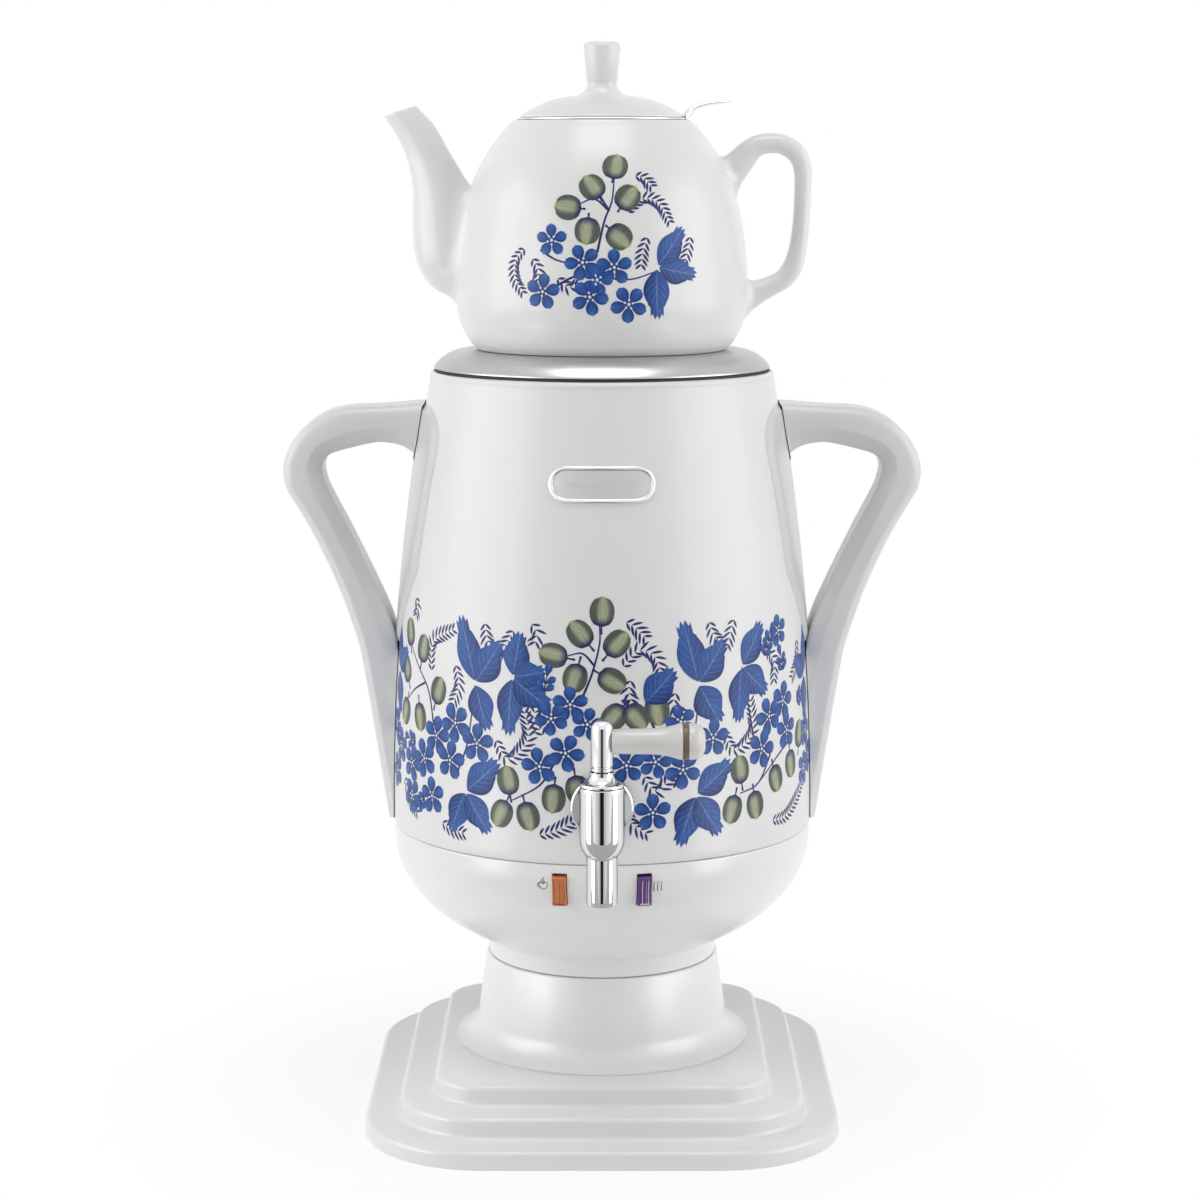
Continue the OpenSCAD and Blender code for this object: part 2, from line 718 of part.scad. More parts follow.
// The space inside the bowl, kept g clear of its wall
module bowl_space(g) {
    top = bowl_top_z - flange_t - g;
    room = [for (p = inset(bowl_outer, bowl_wall + g)) if (p.y < top) p];
    rotate_extrude() polygon(concat(
        [[0, bowl_floor_z + g], [bowl_collar_r - bowl_wall - g, bowl_floor_z + g]], room,
        [[bowl_r - bowl_wall - g, top], [0, top]]));
}

module inlet_pad() {
    x = inlet_w + 2 * inlet_pad_margin;
    z = inlet_h + 2 * inlet_pad_margin - 2;
    intersection() {
        translate([-x / 2, 0, inlet_z - z / 2]) cube([x, inlet_face_y, z]);
        difference() {
            translate([0, 0, bowl_collar_z])
                cylinder(r = 2 * bowl_r, h = bowl_top_z - bowl_collar_z - flange_t);
            bowl_space(0);
        }
    }
}

module bowl() {
    color("white") difference() {
        union() {
            bowl_shell();
            inlet_pad();
        }
        for (side = [-1, 1]) place_switch(side)
            translate([-rocker_w / 2 - switch_slack, -slot_cut / 2, -slot_h / 2])
            cube([rocker_w + 2 * switch_slack, slot_cut, slot_h]);
        translate([-inlet_w / 2 - fit_gap, bowl_r / 2, inlet_z - inlet_h / 2 - fit_gap])
            cube([inlet_w + 2 * fit_gap, bowl_r, inlet_h + 2 * fit_gap]);
        around(casing_screw_angles, casing_screw_pcr)
            translate([0, 0, bowl_top_z - flange_t - over])
            cylinder(r = casing_screw_r + screw_gap, h = flange_t + 2 * over);
    }
}

module casing() {
    inner = [for (p = casing_curve) p - [casing_wall, 0]];
    color("white") difference() {
        rotate_extrude() polygon(concat(
            [[flange_r, casing_z]], casing_curve,
            [[casing_top_r - casing_edge, casing_top_z], [tank_hole_r, casing_top_z],
             [tank_hole_r, casing_top_z - flange_t]],
            flip([for (p = inner) if (p.y > casing_z + flange_t && p.y < casing_top_z - flange_t) p]),
            [[inner[0].x, casing_z + flange_t], [flange_r, casing_z + flange_t]]));
        translate([0, 0, shank_z]) bar_y(shank_r + screw_gap, -2 * casing_base_r, 0);
        handle_screw_axes() bar_x(handle_screw_r + screw_gap, casing_top_r / 2, 2 * casing_base_r);
        around(casing_screw_angles, casing_screw_pcr)
            translate([0, 0, casing_z - over])
                cylinder(r = casing_screw_r + screw_gap, h = flange_t + 2 * over);
    }
}

module casing_screws() {
    head_t = 2;
    color("silver") around(casing_screw_angles, casing_screw_pcr)
        translate([0, 0, bowl_top_z - flange_t - fit_gap - head_t]) {
            cylinder(r = 2 * casing_screw_r, h = head_t);
            cylinder(r = casing_screw_r, h = head_t + fit_gap + 2 * flange_t + seam_gap + over);
        }
}

module water_tank() {
    color("silver") difference() {
        rotate_extrude() polygon([
            [0, tank_floor_z], [tank_r, tank_floor_z], [tank_r, tank_flange_z],
            [tank_flange_r, tank_flange_z], [tank_flange_r, tank_flange_z + tank_wall],
            [tank_r - tank_wall, tank_flange_z + tank_wall],
            [tank_r - tank_wall, tank_floor_z + tank_wall], [0, tank_floor_z + tank_wall]]);
        translate([0, 0, shank_z]) bar_y(shank_r + screw_gap, -2 * tank_r, 0);
    }
}

module rim_gasket() {
    color("black") translate([0, 0, gasket_z]) difference() {
        cylinder(r = plate_r - 0.3, h = gasket_t);
        translate([0, 0, -over]) cylinder(r = plate_r - 0.3 - gasket_w, h = gasket_t + 2 * over);
    }
}

// ---- Heater and wiring ----

module heater_plate() {
    color("silver") translate([0, 0, heater_z]) cylinder(r = heater_r, h = heater_t);
}

module heating_element() {
    color("dimgray") translate([0, 0, element_z]) {
        rotate_extrude(angle = element_sweep) translate([element_ring_r, 0]) circle(element_r, $fn = 32);
        around([tail_angle, element_sweep - tail_angle], element_ring_r)
            translate([0, 0, -element_tail]) cylinder(r = 0.8 * element_r, h = element_tail);
    }
}

module thermostat() {
    color("ivory") translate([0, 0, heater_z - fit_gap - thermostat_h])
        cylinder(r = thermostat_r, h = thermostat_h);
}

module thermal_cutout() {
    color("dimgray")
        translate([cutout_x - cutout_size.x / 2, -cutout_size.y / 2, heater_z - fit_gap - cutout_size.z])
        cube(cutout_size);
}

block_size = [36, 14, 13];
block_y = rod_washer_r + 4;
block_z = bowl_floor_z + fit_gap;

module terminal_block() {
    color("ivory") translate([-block_size.x / 2, block_y, block_z]) cube(block_size);
}

wire_r = 1.2;
socket_back_y = inlet_face_y - inlet_depth;

// Terminal number i on top of the block
function terminal(i) =
    [(i - 3.5) * 4.4, block_y + block_size.y / 2, block_z + block_size.z + fit_gap + wire_r];

function tail_end(a) =
    [element_ring_r * cos(a), element_ring_r * sin(a), element_z - element_tail - fit_gap - wire_r];

function switch_back(side) =
    let (r = bowl_r - switch_depth - fit_gap - wire_r)
    [side * r * sin(switch_angle), -r * cos(switch_angle), switch_z];

module wiring() {
    color("darkred") {
        for (i = [0 : 2]) wire(terminal(i + 2) + [0, 2.8, 0],
            [(i - 1) * blade_pitch, socket_back_y - fit_gap - wire_r, inlet_z], wire_r);
        wire(terminal(7), tail_end(0), wire_r);
        wire(terminal(6), tail_end(element_sweep), wire_r);
        wire(terminal(0), switch_back(-1), wire_r);
        wire(terminal(5) + [0, -2.8, 0], switch_back(1), wire_r);
        wire(terminal(3) + [0, -2.8, 0], [0, 0, heater_z - thermostat_h - 2 * fit_gap - wire_r], wire_r);
    }
}

module power_inlet() {
    color("black") translate([0, inlet_face_y, inlet_z]) difference() {
        translate([-inlet_w / 2, -inlet_depth, -inlet_h / 2]) cube([inlet_w, inlet_depth, inlet_h]);
        translate([-inlet_w / 2 + socket_wall, -socket_depth, -inlet_h / 2 + socket_wall])
            cube([inlet_w - 2 * socket_wall, socket_depth + over, inlet_h - 2 * socket_wall]);
    }
}

module inlet_blades() {
    color("goldenrod") for (i = [-1 : 1])
        translate([i * blade_pitch - blade_size.x / 2, inlet_face_y - socket_depth + fit_gap,
                   inlet_z - blade_size.y / 2 + (i == 0 ? 2 : -2)])
        cube([blade_size.x, blade_l, blade_size.y]);
}

// ---- Side handles ----

// Where the head of a handle screw bears inside the casing at height z
function screw_face_r(z) = casing_r(z) - casing_wall - 0.5;

module handle() {
    difference() {
        slab(handle_outline, handle_depth);
        slab(handle_gap, handle_depth + 2 * over);
        casing_envelope(fit_gap);
        intersection() {
            casing_envelope(pad_t + fit_gap);
            translate([0, -casing_base_r, pad_end_z - fit_gap])
                cube([2 * casing_base_r, 2 * casing_base_r, casing_h]);
        }
        for (z = handle_screw_levels) translate([0, 0, z])
            bar_x(handle_screw_r + screw_gap, 0, screw_face_r(z) + handle_screw_l + over);
    }
}

module handle_left() {
    color("lightgray") mirror([1, 0, 0]) handle();
}

module handle_right() {
    color("lightgray") handle();
}

module handle_pad() {
    w = pad_half_w;
    half = concat([[0, pad_top_z]],
        arc3([0.27 * w, pad_top_z], [0.83 * w, pad_top_z - 0.12 * w], [w, pad_top_z - 0.42 * w]),
        [[0.92 * w, pad_end_z + 0.87 * w], [handle_depth / 2, pad_end_z], [0, pad_end_z]]);
    difference() {
        intersection() {
            casing_skin(fit_gap, pad_t);
            rotate([90, 0, 90]) linear_extrude(2 * casing_base_r)
                polygon(concat(half, flip([for (p = half) [-p.x, p.y]])));
        }
        translate([0, 0, handle_screw_levels[0]])
            bar_x(handle_screw_r + screw_gap, 0, 2 * casing_base_r);
    }
}

module handle_pad_left() {
    color("whitesmoke") mirror([1, 0, 0]) handle_pad();
}

module handle_pad_right() {
    color("whitesmoke") handle_pad();
}

module handle_screws() {
    color("silver") for (i = [0, 1], z = handle_screw_levels)
        let (face = screw_face_r(z)) translate([0, 0, z]) mirror([i, 0, 0]) {
            bar_x(screw_head_r, face - screw_head_t, face);
            bar_x(handle_screw_r, face - screw_head_t, face + handle_screw_l);
        }
}

module badge() {
    color("silver") translate([0, 0, casing_z + badge_z]) difference() {
        intersection() {
            translate([0, 0, -casing_z - badge_z]) casing_skin(fit_gap, badge_t + 0.7);
            rotate([90, 0, 0]) linear_extrude(2 * casing_base_r) stadium(badge_w, badge_h);
        }
        intersection() {
            translate([0, 0, -casing_z - badge_z]) casing_skin(badge_t, badge_t + 2);
            rotate([90, 0, 0]) linear_extrude(2 * casing_base_r)
                stadium(badge_w - 2 * badge_rim_w, badge_h - 2 * badge_rim_w);
        }
    }
}

// ---- Switches ----

module switch_housing(side) {
    x = rocker_w / 2 + switch_slack;
    intersection() {
        bowl_space(fit_gap);
        place_switch(side) difference() {
            translate([-x - switch_wall, 0, -slot_h / 2 - switch_wall])
                cube([2 * (x + switch_wall), switch_depth, slot_h + 2 * switch_wall]);
            translate([-x, -over, -slot_h / 2]) cube([2 * x, switch_depth - switch_wall + over, slot_h]);
            translate([0, pivot_depth, 0])
                bar_x(pivot_pin_r + run_gap, -x - switch_wall - over, x + switch_wall + over);
        }
    }
}

module switch_housing_left() {
    color("black") switch_housing(-1);
}

module switch_housing_right() {
    color("black") switch_housing(1);
}

module rocker(side) {
    proud = 1.7;
    h = rocker_h / 2;
    place_switch(side) translate([0, pivot_depth, 0]) rotate([rocker_tilt, 0, 0]) {
        translate([-rocker_w / 2, 0, 0]) rotate([90, 0, 90]) linear_extrude(rocker_w)
            polygon([[-pivot_depth - proud, -h], [-pivot_depth - proud + 0.8, 0], [-pivot_depth - proud, h],
                     [-1.6, h], [1.8, h / 3], [1.8, -h / 3], [-1.6, -h]]);
        bar_x(pivot_pin_r, -rocker_w / 2 - switch_slack - switch_wall + 0.2,
              rocker_w / 2 + switch_slack + switch_wall - 0.2);
    }
}

module rocker_left() {
    color("peru") rocker(-1);
}

module rocker_right() {
    color("indigo") rocker(1);
}

// ---- Tap ----

module at_tap() {
    translate([0, tap_y, 0]) children();
}

// The valve parts are turned on the tap's axis, and the lever points to +X when the tap is shut.
module tap_body() {
    taper = arc3([nozzle_r, nozzle_top_z], [tap_r - 0.6, barrel_z - 0.42 * barrel_taper],
        [tap_r, barrel_z], 5);
    color("silver") difference() {
        union() {
            at_tap() rotate_extrude() polygon(concat(
                [[0, nozzle_z], [nozzle_r - 0.8, nozzle_z], [nozzle_r, nozzle_z + 0.8]], taper,
                [[tap_r, barrel_top_z - 0.6], [tap_r - 0.4, barrel_top_z], [0, barrel_top_z]]));
            translate([0, 0, shank_z]) bar_y(shank_r, tap_y, tank_face_y + nut_t + 4);
            translate([0, 0, shank_z]) bar_y(shank_r + 1.6, tap_y, washer_face_y - fit_gap);
            translate([0, 0, shank_z])
                bar_y(tap_flange_r, washer_face_y - fit_gap - tap_flange_t, washer_face_y - fit_gap);
        }
        at_tap() {
            translate([0, 0, nozzle_z - over]) cylinder(r = nozzle_bore_r, h = barrel_top_z - nozzle_z);
            translate([0, 0, chamber_z]) cylinder(r = chamber_r, h = tap_barrel_h);
            translate([0, 0, barrel_top_z - bonnet_spigot_h - fit_gap])
                cylinder(r = bonnet_r + fit_gap, h = bonnet_spigot_h + over);
        }
        translate([0, 0, shank_z]) bar_y(waterway_r, tap_y, 0);
    }
}

module tap_bonnet() {
    z = barrel_top_z + fit_gap;
    color("silver") at_tap() rotate_extrude() polygon([
        [stem_r + run_gap, z - bonnet_spigot_h], [bonnet_r, z - bonnet_spigot_h], [bonnet_r, z],
        [tap_r - 0.4, z], [tap_r, z + 0.6], [tap_r - 0.3, z + 1.5], [head_r + 0.4, z + bonnet_h],
        [stem_r + run_gap, z + bonnet_h]]);
}

module tap_washer() {
    r = shank_r + 5;
    z0 = shank_z - r - over;
    z1 = shank_z + r + over;
    color("dimgray") difference() {
        translate([0, 0, shank_z]) bar_y(r, washer_face_y, -casing_base_r / 2);
        seal_wall(casing_r(z0) + fit_gap, casing_r(z1) + fit_gap, z0, z1);
        translate([0, 0, shank_z]) bar_y(shank_r + fit_gap, -2 * casing_base_r, 0);
    }
}

module tap_spacer() {
    face = sqrt(pow(casing_r(shank_z + spacer_r) - casing_wall - fit_gap, 2) - pow(spacer_r, 2));
    color("ivory") translate([0, 0, shank_z]) difference() {
        bar_y(spacer_r, -face, -tank_r - tank_seal_t - fit_gap);
        bar_y(shank_r + fit_gap, -2 * casing_base_r, 0);
    }
}

module tank_seal() {
    color("dimgray") difference() {
        translate([0, 0, shank_z]) bar_y(spacer_r, -tank_r - tank_seal_t, -tank_r / 2);
        seal_wall(tank_r + fit_gap, tank_r + fit_gap, tank_floor_z, casing_top_z);
        translate([0, 0, shank_z]) bar_y(shank_r + fit_gap, -2 * tank_r, 0);
    }
}

module tap_nut() {
    seat = sqrt(pow(tank_r - tank_wall, 2) - pow(nut_r, 2)) - 0.3;
    color("silver") translate([0, -seat, shank_z]) rotate([-90, 0, 0])
        hex_nut(nut_r, nut_t, shank_r + fit_gap);
}

module valve_plug() {
    color("silver") at_tap() difference() {
        union() {
            translate([0, 0, chamber_z + fit_gap]) cylinder(r = plug_r, h = plug_top_z - chamber_z - fit_gap);
            translate([0, 0, plug_top_z - 1]) cylinder(r = stem_r, h = head_z + 6 - plug_top_z + 1);
        }
        translate([0, 0, chamber_z]) cylinder(r = waterway_r + 0.4, h = shank_z - chamber_z + waterway_r);
        translate([0, 0, shank_z]) bar_x(waterway_r, -2 * plug_r, 0);
    }
}

module valve_washer() {
    color("white") at_tap() translate([0, 0, plug_top_z + fit_gap]) difference() {
        cylinder(r = plug_r - 0.2, h = 0.7);
        translate([0, 0, -over]) cylinder(r = stem_r + run_gap, h = 1 + 2 * over);
    }
}

module valve_head() {
    dome_z = head_top_z - 0.75 * head_r;
    color("silver") at_tap() difference() {
        rotate_extrude() polygon(concat(
            [[0, head_z], [head_r - 0.7, head_z], [head_r - 0.7, head_z + head_groove_h],
             [head_r, head_z + head_groove_h + 0.5]],
            arc3([head_r, dome_z], [0.75 * head_r, dome_z + 0.55 * head_r], [0.4, head_top_z], 6),
            [[0, head_top_z]]));
        translate([0, 0, head_z - over]) cylinder(r = stem_r + fit_gap, h = 6 + fit_gap + over);
        translate([0, 0, lever_z]) bar_x(lever_bore_r + fit_gap, 0, 2 * head_r);
    }
}

// A solid turned on the lever's axis from pairs of reach and radius
module lever_turned(profile) {
    at_tap() translate([0, 0, lever_z]) rotate([0, 90, 0])
        rotate_extrude() polygon([for (p = profile) [p.y, p.x]]);
}

module lever_handle() {
    waist = mix(head_r, band_x, 0.55);
    swell = arc3([waist, lever_root_r + 0.2], [mix(waist, band_x, 0.6), mix(lever_root_r, lever_end_r, 0.5)],
                 [band_x - 1.6, lever_end_r - 0.1], 6);
    color("ivory") difference() {
        lever_turned(concat([[0, 0], [0, lever_root_r - 0.2]], [[head_r, lever_root_r - 0.1]], swell,
                            [[band_x, lever_end_r], [band_x, 0]]));
        at_tap() translate([0, 0, lever_z - 2 * lever_root_r])
            cylinder(r = head_r + fit_gap, h = 4 * lever_root_r);
        at_tap() translate([0, 0, lever_z]) bar_x(lever_pin_r + fit_gap, band_x - 9, band_x + over);
    }
    color("ivory") at_tap() translate([0, 0, lever_z]) bar_x(lever_bore_r, fit_gap, head_r + 1);
}

module lever_band() {
    x = band_x + fit_gap;
    color("saddlebrown") lever_turned([[x, lever_pin_r + fit_gap], [x, lever_end_r],
        [x + lever_band_w, lever_end_r], [x + lever_band_w, lever_pin_r + fit_gap]]);
}

module lever_cap() {
    x = band_x + lever_band_w + 2 * fit_gap;
    crown = arc3([mix(x, lever_l, 0.35), lever_end_r - 0.15], [mix(x, lever_l, 0.85), 0.72 * lever_end_r],
                 [lever_l, 0.3 * lever_end_r], 6);
    color("ivory") lever_turned(concat([[band_x - 8, 0], [band_x - 8, lever_pin_r], [x, lever_pin_r],
        [x, lever_end_r]], crown, [[lever_l, 0]]));
}

// ---- Warming plate, teapot, strainer and lid ----

module warming_plate() {
    top = concat(arc3([plate_r, plate_z + plate_t], plate_mid, [plate_seat_r, plate_seat_z], 8),
                 [[steam_r, plate_seat_z]]);
    ledge_z = plate_z + plate_t;
    under = [for (p = inset(top, plate_t)) if (p.y > ledge_z) [max(p.x, steam_r), p.y]];
    ledge_r = plate_collar_r - plate_t;
    color("silver") {
        rotate_extrude() polygon(concat(
            [[ledge_r, plate_z], [plate_r, plate_z]], top, flip(under), [[ledge_r, ledge_z]]));
        intersection() {
            translate([0, 0, plate_z - plate_collar_h]) difference() {
                cylinder(r = plate_collar_r, h = plate_collar_h + plate_t / 2);
                translate([0, 0, -over]) cylinder(r = ledge_r, h = plate_collar_h + plate_t + 2 * over);
            }
            union() {
                translate([-2 * plate_r, -plate_lug_w / 2, 0]) cube([4 * plate_r, plate_lug_w, 2 * plate_z]);
                translate([-plate_lug_w / 2, -2 * plate_r, 0]) cube([plate_lug_w, 4 * plate_r, 2 * plate_z]);
            }
        }
    }
}

// A point of the teapot's handle: share of its reach past the belly, share of the pot's height
function ph(u, v) = [pot_belly_r + u * pot_handle_reach, pot_z + v * pot_h];
pot_handle_outer = concat(
    [[pot_mouth_r - 2, pot_z + 0.64 * pot_h], [pot_mouth_r + 10, pot_z + 0.775 * pot_h]],
    arc3(ph(-0.308, 0.852), ph(0.075, 0.93), ph(0.504, 0.944), 5),
    arc3(ph(0.7, 0.9246), ph(0.925, 0.868), ph(1, 0.7645), 5),
    [ph(0.97, 0.558), ph(0.925, 0.4235), ph(0.895, 0.351), ph(0.842, 0.312), ph(0.549, 0.247),
     ph(0.244, 0.196), ph(-0.09, 0.13), [pot_foot_r - 4, pot_z + 0.145 * pot_h]]);
pot_handle_inner = concat(
    [[pot_mouth_r + 4, pot_z + 0.6 * pot_h], ph(-0.263, 0.651)],
    arc3(ph(-0.06, 0.781), ph(0.35, 0.8626), ph(0.714, 0.785), 8),
    arc3(ph(0.737, 0.7025), ph(0.707, 0.5165), ph(0.538, 0.349), 4),
    [ph(0.3, 0.306), ph(-0.15, 0.279)]);

// The teapot's body without its hollow, grown by g
module pot_solid(g) {
    rotate_extrude() polygon(concat(
        [[0, pot_z + pot_foot_h], [pot_foot_r - pot_foot_w, pot_z + pot_foot_h],
         [pot_foot_r - pot_foot_w, pot_z]],
        inset(pot_outer, -g), [[0, pot_top_z]]));
}

module teapot() {
    color("white") difference() {
        pot_solid(0);
        rotate_extrude() polygon(pot_cavity);
        spout_tube(spout_wall, bore_end);
    }
}

module teapot_spout() {
    color("white") difference() {
        spout_tube(0, 0);
        pot_solid(fit_gap);
        spout_tube(spout_wall, bore_end);
    }
}

module teapot_handle() {
    color("white") difference() {
        slab(pot_handle_outer, pot_handle_t);
        slab(pot_handle_inner, pot_handle_t + 2 * over);
        pot_solid(fit_gap);
    }
}

module strainer() {
    z = strainer_z;
    floor_z = z - strainer_h;
    tab_x = lid_r + 0.3;
    leaf_z = z + tab_lift;
    tab = concat([[tab_x, z], [tab_x + 4.5, z], [tab_x + 2.6, z + 1.6], [tab_x + 1.6, leaf_z]],
        arc3([tab_x + 0.29 * tab_reach, leaf_z + 0.5 * tab_rise],
             [tab_x + 0.67 * tab_reach, leaf_z + 0.94 * tab_rise], [tab_x + tab_reach, leaf_z + tab_rise], 4),
        arc3([tab_x + tab_reach, leaf_z + tab_rise + tab_t],
             [tab_x + 0.57 * tab_reach, leaf_z + 0.84 * tab_rise + tab_t],
             [tab_x + 0.6, leaf_z + tab_t], 4),
        [[tab_x, z + 1.6]]);
    color("silver") {
        difference() {
            rotate_extrude() polygon([
                [0, floor_z], [strainer_r, floor_z], [strainer_r, z], [strainer_flange_r, z],
                [strainer_flange_r, z + strainer_flange_t],
                [strainer_r - strainer_wall, z + strainer_flange_t],
                [strainer_r - strainer_wall, floor_z + strainer_wall], [0, floor_z + strainer_wall]]);
            for (ring = [1 : 3]) around([for (i = [0 : 6 * ring - 1]) 60 * i / ring], 8 * ring)
                translate([0, 0, floor_z - over]) cylinder(r = hole_r, h = strainer_wall + 2 * over);
        }
        slab(tab, tab_w);
    }
}

module lid() {
    rim = [lid_r, lid_z + lid_edge_h];
    root = [knob_root_r, knob_root_z];
    dome = arc3(rim, [mix(lid_r, knob_root_r, 0.3), mix(rim.y, root.y, 0.49)], root, 10);
    neck_z = knob_root_z + 0.24 * knob_h;
    under = [for (p = inset(dome, lid_wall)) if (p.x < lid_spigot_r - lid_wall && p.y > lid_z) p];
    color("white") rotate_extrude() polygon(concat(
        [[lid_spigot_r - lid_wall, lid_z - lid_spigot_h], [lid_spigot_r, lid_z - lid_spigot_h],
         [lid_spigot_r, lid_z], [lid_r, lid_z]], dome,
        arc3([knob_root_r - 0.8, knob_root_z + 0.2],
            [mix(knob_root_r, knob_neck_r, 0.78), mix(knob_root_z, neck_z, 0.4)],
             [knob_neck_r, neck_z], 5),
        arc3([knob_r, knob_top_z - 4], [knob_r, knob_top_z - 2.5], [knob_r - 0.9, knob_top_z], 4),
        [[0, knob_top_z], [0, knob_root_z - lid_wall]], flip(under)));
}

plinth();
base_cover();
rubber_feet();
cover_screws();
pedestal();
tie_rod();
tie_rod_nuts();
tie_rod_washers();
bowl();
casing();
casing_screws();
water_tank();
rim_gasket();
heater_plate();
heating_element();
thermostat();
thermal_cutout();
terminal_block();
wiring();
power_inlet();
inlet_blades();
handle_left();
handle_right();
handle_pad_left();
handle_pad_right();
handle_screws();
badge();
switch_housing_left();
switch_housing_right();
rocker_left();
rocker_right();
tap_body();
tap_bonnet();
tap_washer();
tap_spacer();
tank_seal();
tap_nut();
valve_plug();
valve_washer();
valve_head();
lever_handle();
lever_band();
lever_cap();
warming_plate();
teapot();
teapot_spout();
teapot_handle();
strainer();
lid();
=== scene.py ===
"""The looks of an electric samovar: moulded plinth and pedestal, enamelled casing with a blue flower print,
side handles, chrome tap, rocker switches, warming plate and porcelain teapot."""
import math

import bmesh
import bpy
import numpy as np
from mathutils import Matrix


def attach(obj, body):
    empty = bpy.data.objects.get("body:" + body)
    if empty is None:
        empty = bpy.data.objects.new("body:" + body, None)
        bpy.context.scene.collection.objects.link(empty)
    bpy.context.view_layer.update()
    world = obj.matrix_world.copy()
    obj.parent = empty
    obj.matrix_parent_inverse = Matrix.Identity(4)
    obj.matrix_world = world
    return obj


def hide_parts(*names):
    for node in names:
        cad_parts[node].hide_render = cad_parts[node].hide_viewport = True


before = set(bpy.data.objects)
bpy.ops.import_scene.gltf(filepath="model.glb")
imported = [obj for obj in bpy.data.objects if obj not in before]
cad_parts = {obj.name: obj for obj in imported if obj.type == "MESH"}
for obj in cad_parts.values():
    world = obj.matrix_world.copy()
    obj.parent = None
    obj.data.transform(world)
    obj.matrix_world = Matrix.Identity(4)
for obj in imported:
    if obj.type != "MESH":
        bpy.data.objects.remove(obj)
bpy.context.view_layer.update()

# ---- Camera ----

MM = 0.001
CAMERA_DISTANCE = 1231.4
CAMERA_HEIGHT = 410.3
CAMERA_PITCH = 8.736
CAMERA_LENS = 85.6
CAMERA_SENSOR = 36
CAMERA_SHIFT = -2 / 1200


def place_camera():
    lens = bpy.data.cameras.new("table_camera")
    lens.lens = CAMERA_LENS
    lens.sensor_width = CAMERA_SENSOR
    lens.shift_x = CAMERA_SHIFT
    lens.clip_start = 0.05
    camera = bpy.data.objects.new("table_camera", lens)
    camera.location = (0, -CAMERA_DISTANCE * MM, CAMERA_HEIGHT * MM)
    camera.rotation_euler = (math.radians(90 - CAMERA_PITCH), 0, 0)
    bpy.context.collection.objects.link(camera)
    bpy.context.scene.camera = camera


place_camera()

# ---- Sizes, in millimetres ----

PLINTH_HALF = np.array([101.5, 108.0])
PLINTH_CORNER = 52.0
PLINTH_WALL = 2.5
TREAD = 15.0
STEP_TOPS = (8.0, 17.2, 26.4)

PEDESTAL_TOP = 64.9
PEDESTAL_WAIST = 54.6
PEDESTAL_TOP_R = 51.0
PEDESTAL_FLARE = 10.0
PEDESTAL_WALL = 4.0

BOWL_Z = PEDESTAL_TOP + 0.3
BOWL_R = 91.0
BOWL_COLLAR_R = 50.0
BOWL_COLLAR_Z = BOWL_Z + 8
BOWL_DROP = 55.6
BOWL_WIDE_Z = BOWL_COLLAR_Z + BOWL_DROP * math.sqrt(1 - (BOWL_COLLAR_R / BOWL_R) ** 2)
BOWL_TOP_Z = BOWL_WIDE_Z + 5
BOWL_WALL = 2.8

CASING_Z = BOWL_TOP_Z + 0.4
CASING_H = 195.6
CASING_TOP_Z = CASING_Z + CASING_H
CASING_BASE_R = 91.5
CASING_TOP_R = 73.6
CASING_WALL = 2.2
CASING_IN = CASING_BASE_R - CASING_TOP_R
CASING_ARC_R = (CASING_H ** 2 + CASING_IN ** 2) / (2 * CASING_IN)

HANDLE_REACH = 45.4
HANDLE_HALF_DEPTH = 13.0
PAD_HALF_W = 38.0
PAD_T = 1.6
PAD_TOP_Z = CASING_Z + 0.936 * CASING_H - 0.2
PAD_END_Z = CASING_Z + 0.409 * CASING_H

BADGE_W = 43.6
BADGE_H = 14.8
BADGE_RIM_W = 1.7
BADGE_Z = CASING_Z + 155.6

SWITCH_ANGLE = 11.1
SWITCH_Z = BOWL_WIDE_Z - 5.6
SLOT_HALF_H = 6.95
SLOT_HALF_W = 3.2
PIVOT_DEPTH = 5.2
ROCKER_W = 5.7
ROCKER_H = 12.2
ROCKER_TILT = 4.0
ROCKER_PROUD = 1.7
ROCKER_FACE_Y = -PIVOT_DEPTH - ROCKER_PROUD
ROCKER_DISH = 0.8

INLET_Z = BOWL_WIDE_Z - 8.8
INLET_FACE_Y = BOWL_R + 0.6
INLET_HALF = (14.1, 9.6)
INLET_WALL_R = 88.5

SHANK_Z = CASING_Z + 25
TAP_STANDOFF = 33.6
TAP_R = 9.0
TAP_BARREL_H = 21.6
TAP_BARREL_TOP = SHANK_Z + 0.71 * TAP_BARREL_H
TAP_BARREL_Z = TAP_BARREL_TOP - TAP_BARREL_H
NOZZLE_R = 6.2
NOZZLE_TOP = TAP_BARREL_Z - 6.5
NOZZLE_Z = NOZZLE_TOP - 20.1
NOZZLE_BORE = 4.4
BONNET_TOP = TAP_BARREL_TOP + 6.1
HEAD_R = 4.45
HEAD_Z = BONNET_TOP + 0.5
HEAD_GROOVE_TOP = HEAD_Z + 1.8
HEAD_TOP = HEAD_GROOVE_TOP + 18.4
LEVER_Z = HEAD_TOP - 8.5
LEVER_L = 40.9
LEVER_ROOT_R = 5.0
LEVER_END_R = 7.35
BAND_X = 31.9
BAND_W = 2.4

GASKET_Z = CASING_TOP_Z + 1.0
PLATE_Z = GASKET_Z + 1.1
PLATE_R = 72.3
PLATE_SEAT_R = 58.5
PLATE_SEAT_Z = PLATE_Z + 7.8
PLATE_COLLAR_R = 67.2
PLATE_T = 0.8
LUG_W = 16.0
LUG_DROP = 7.0
STEAM_R = 22.0

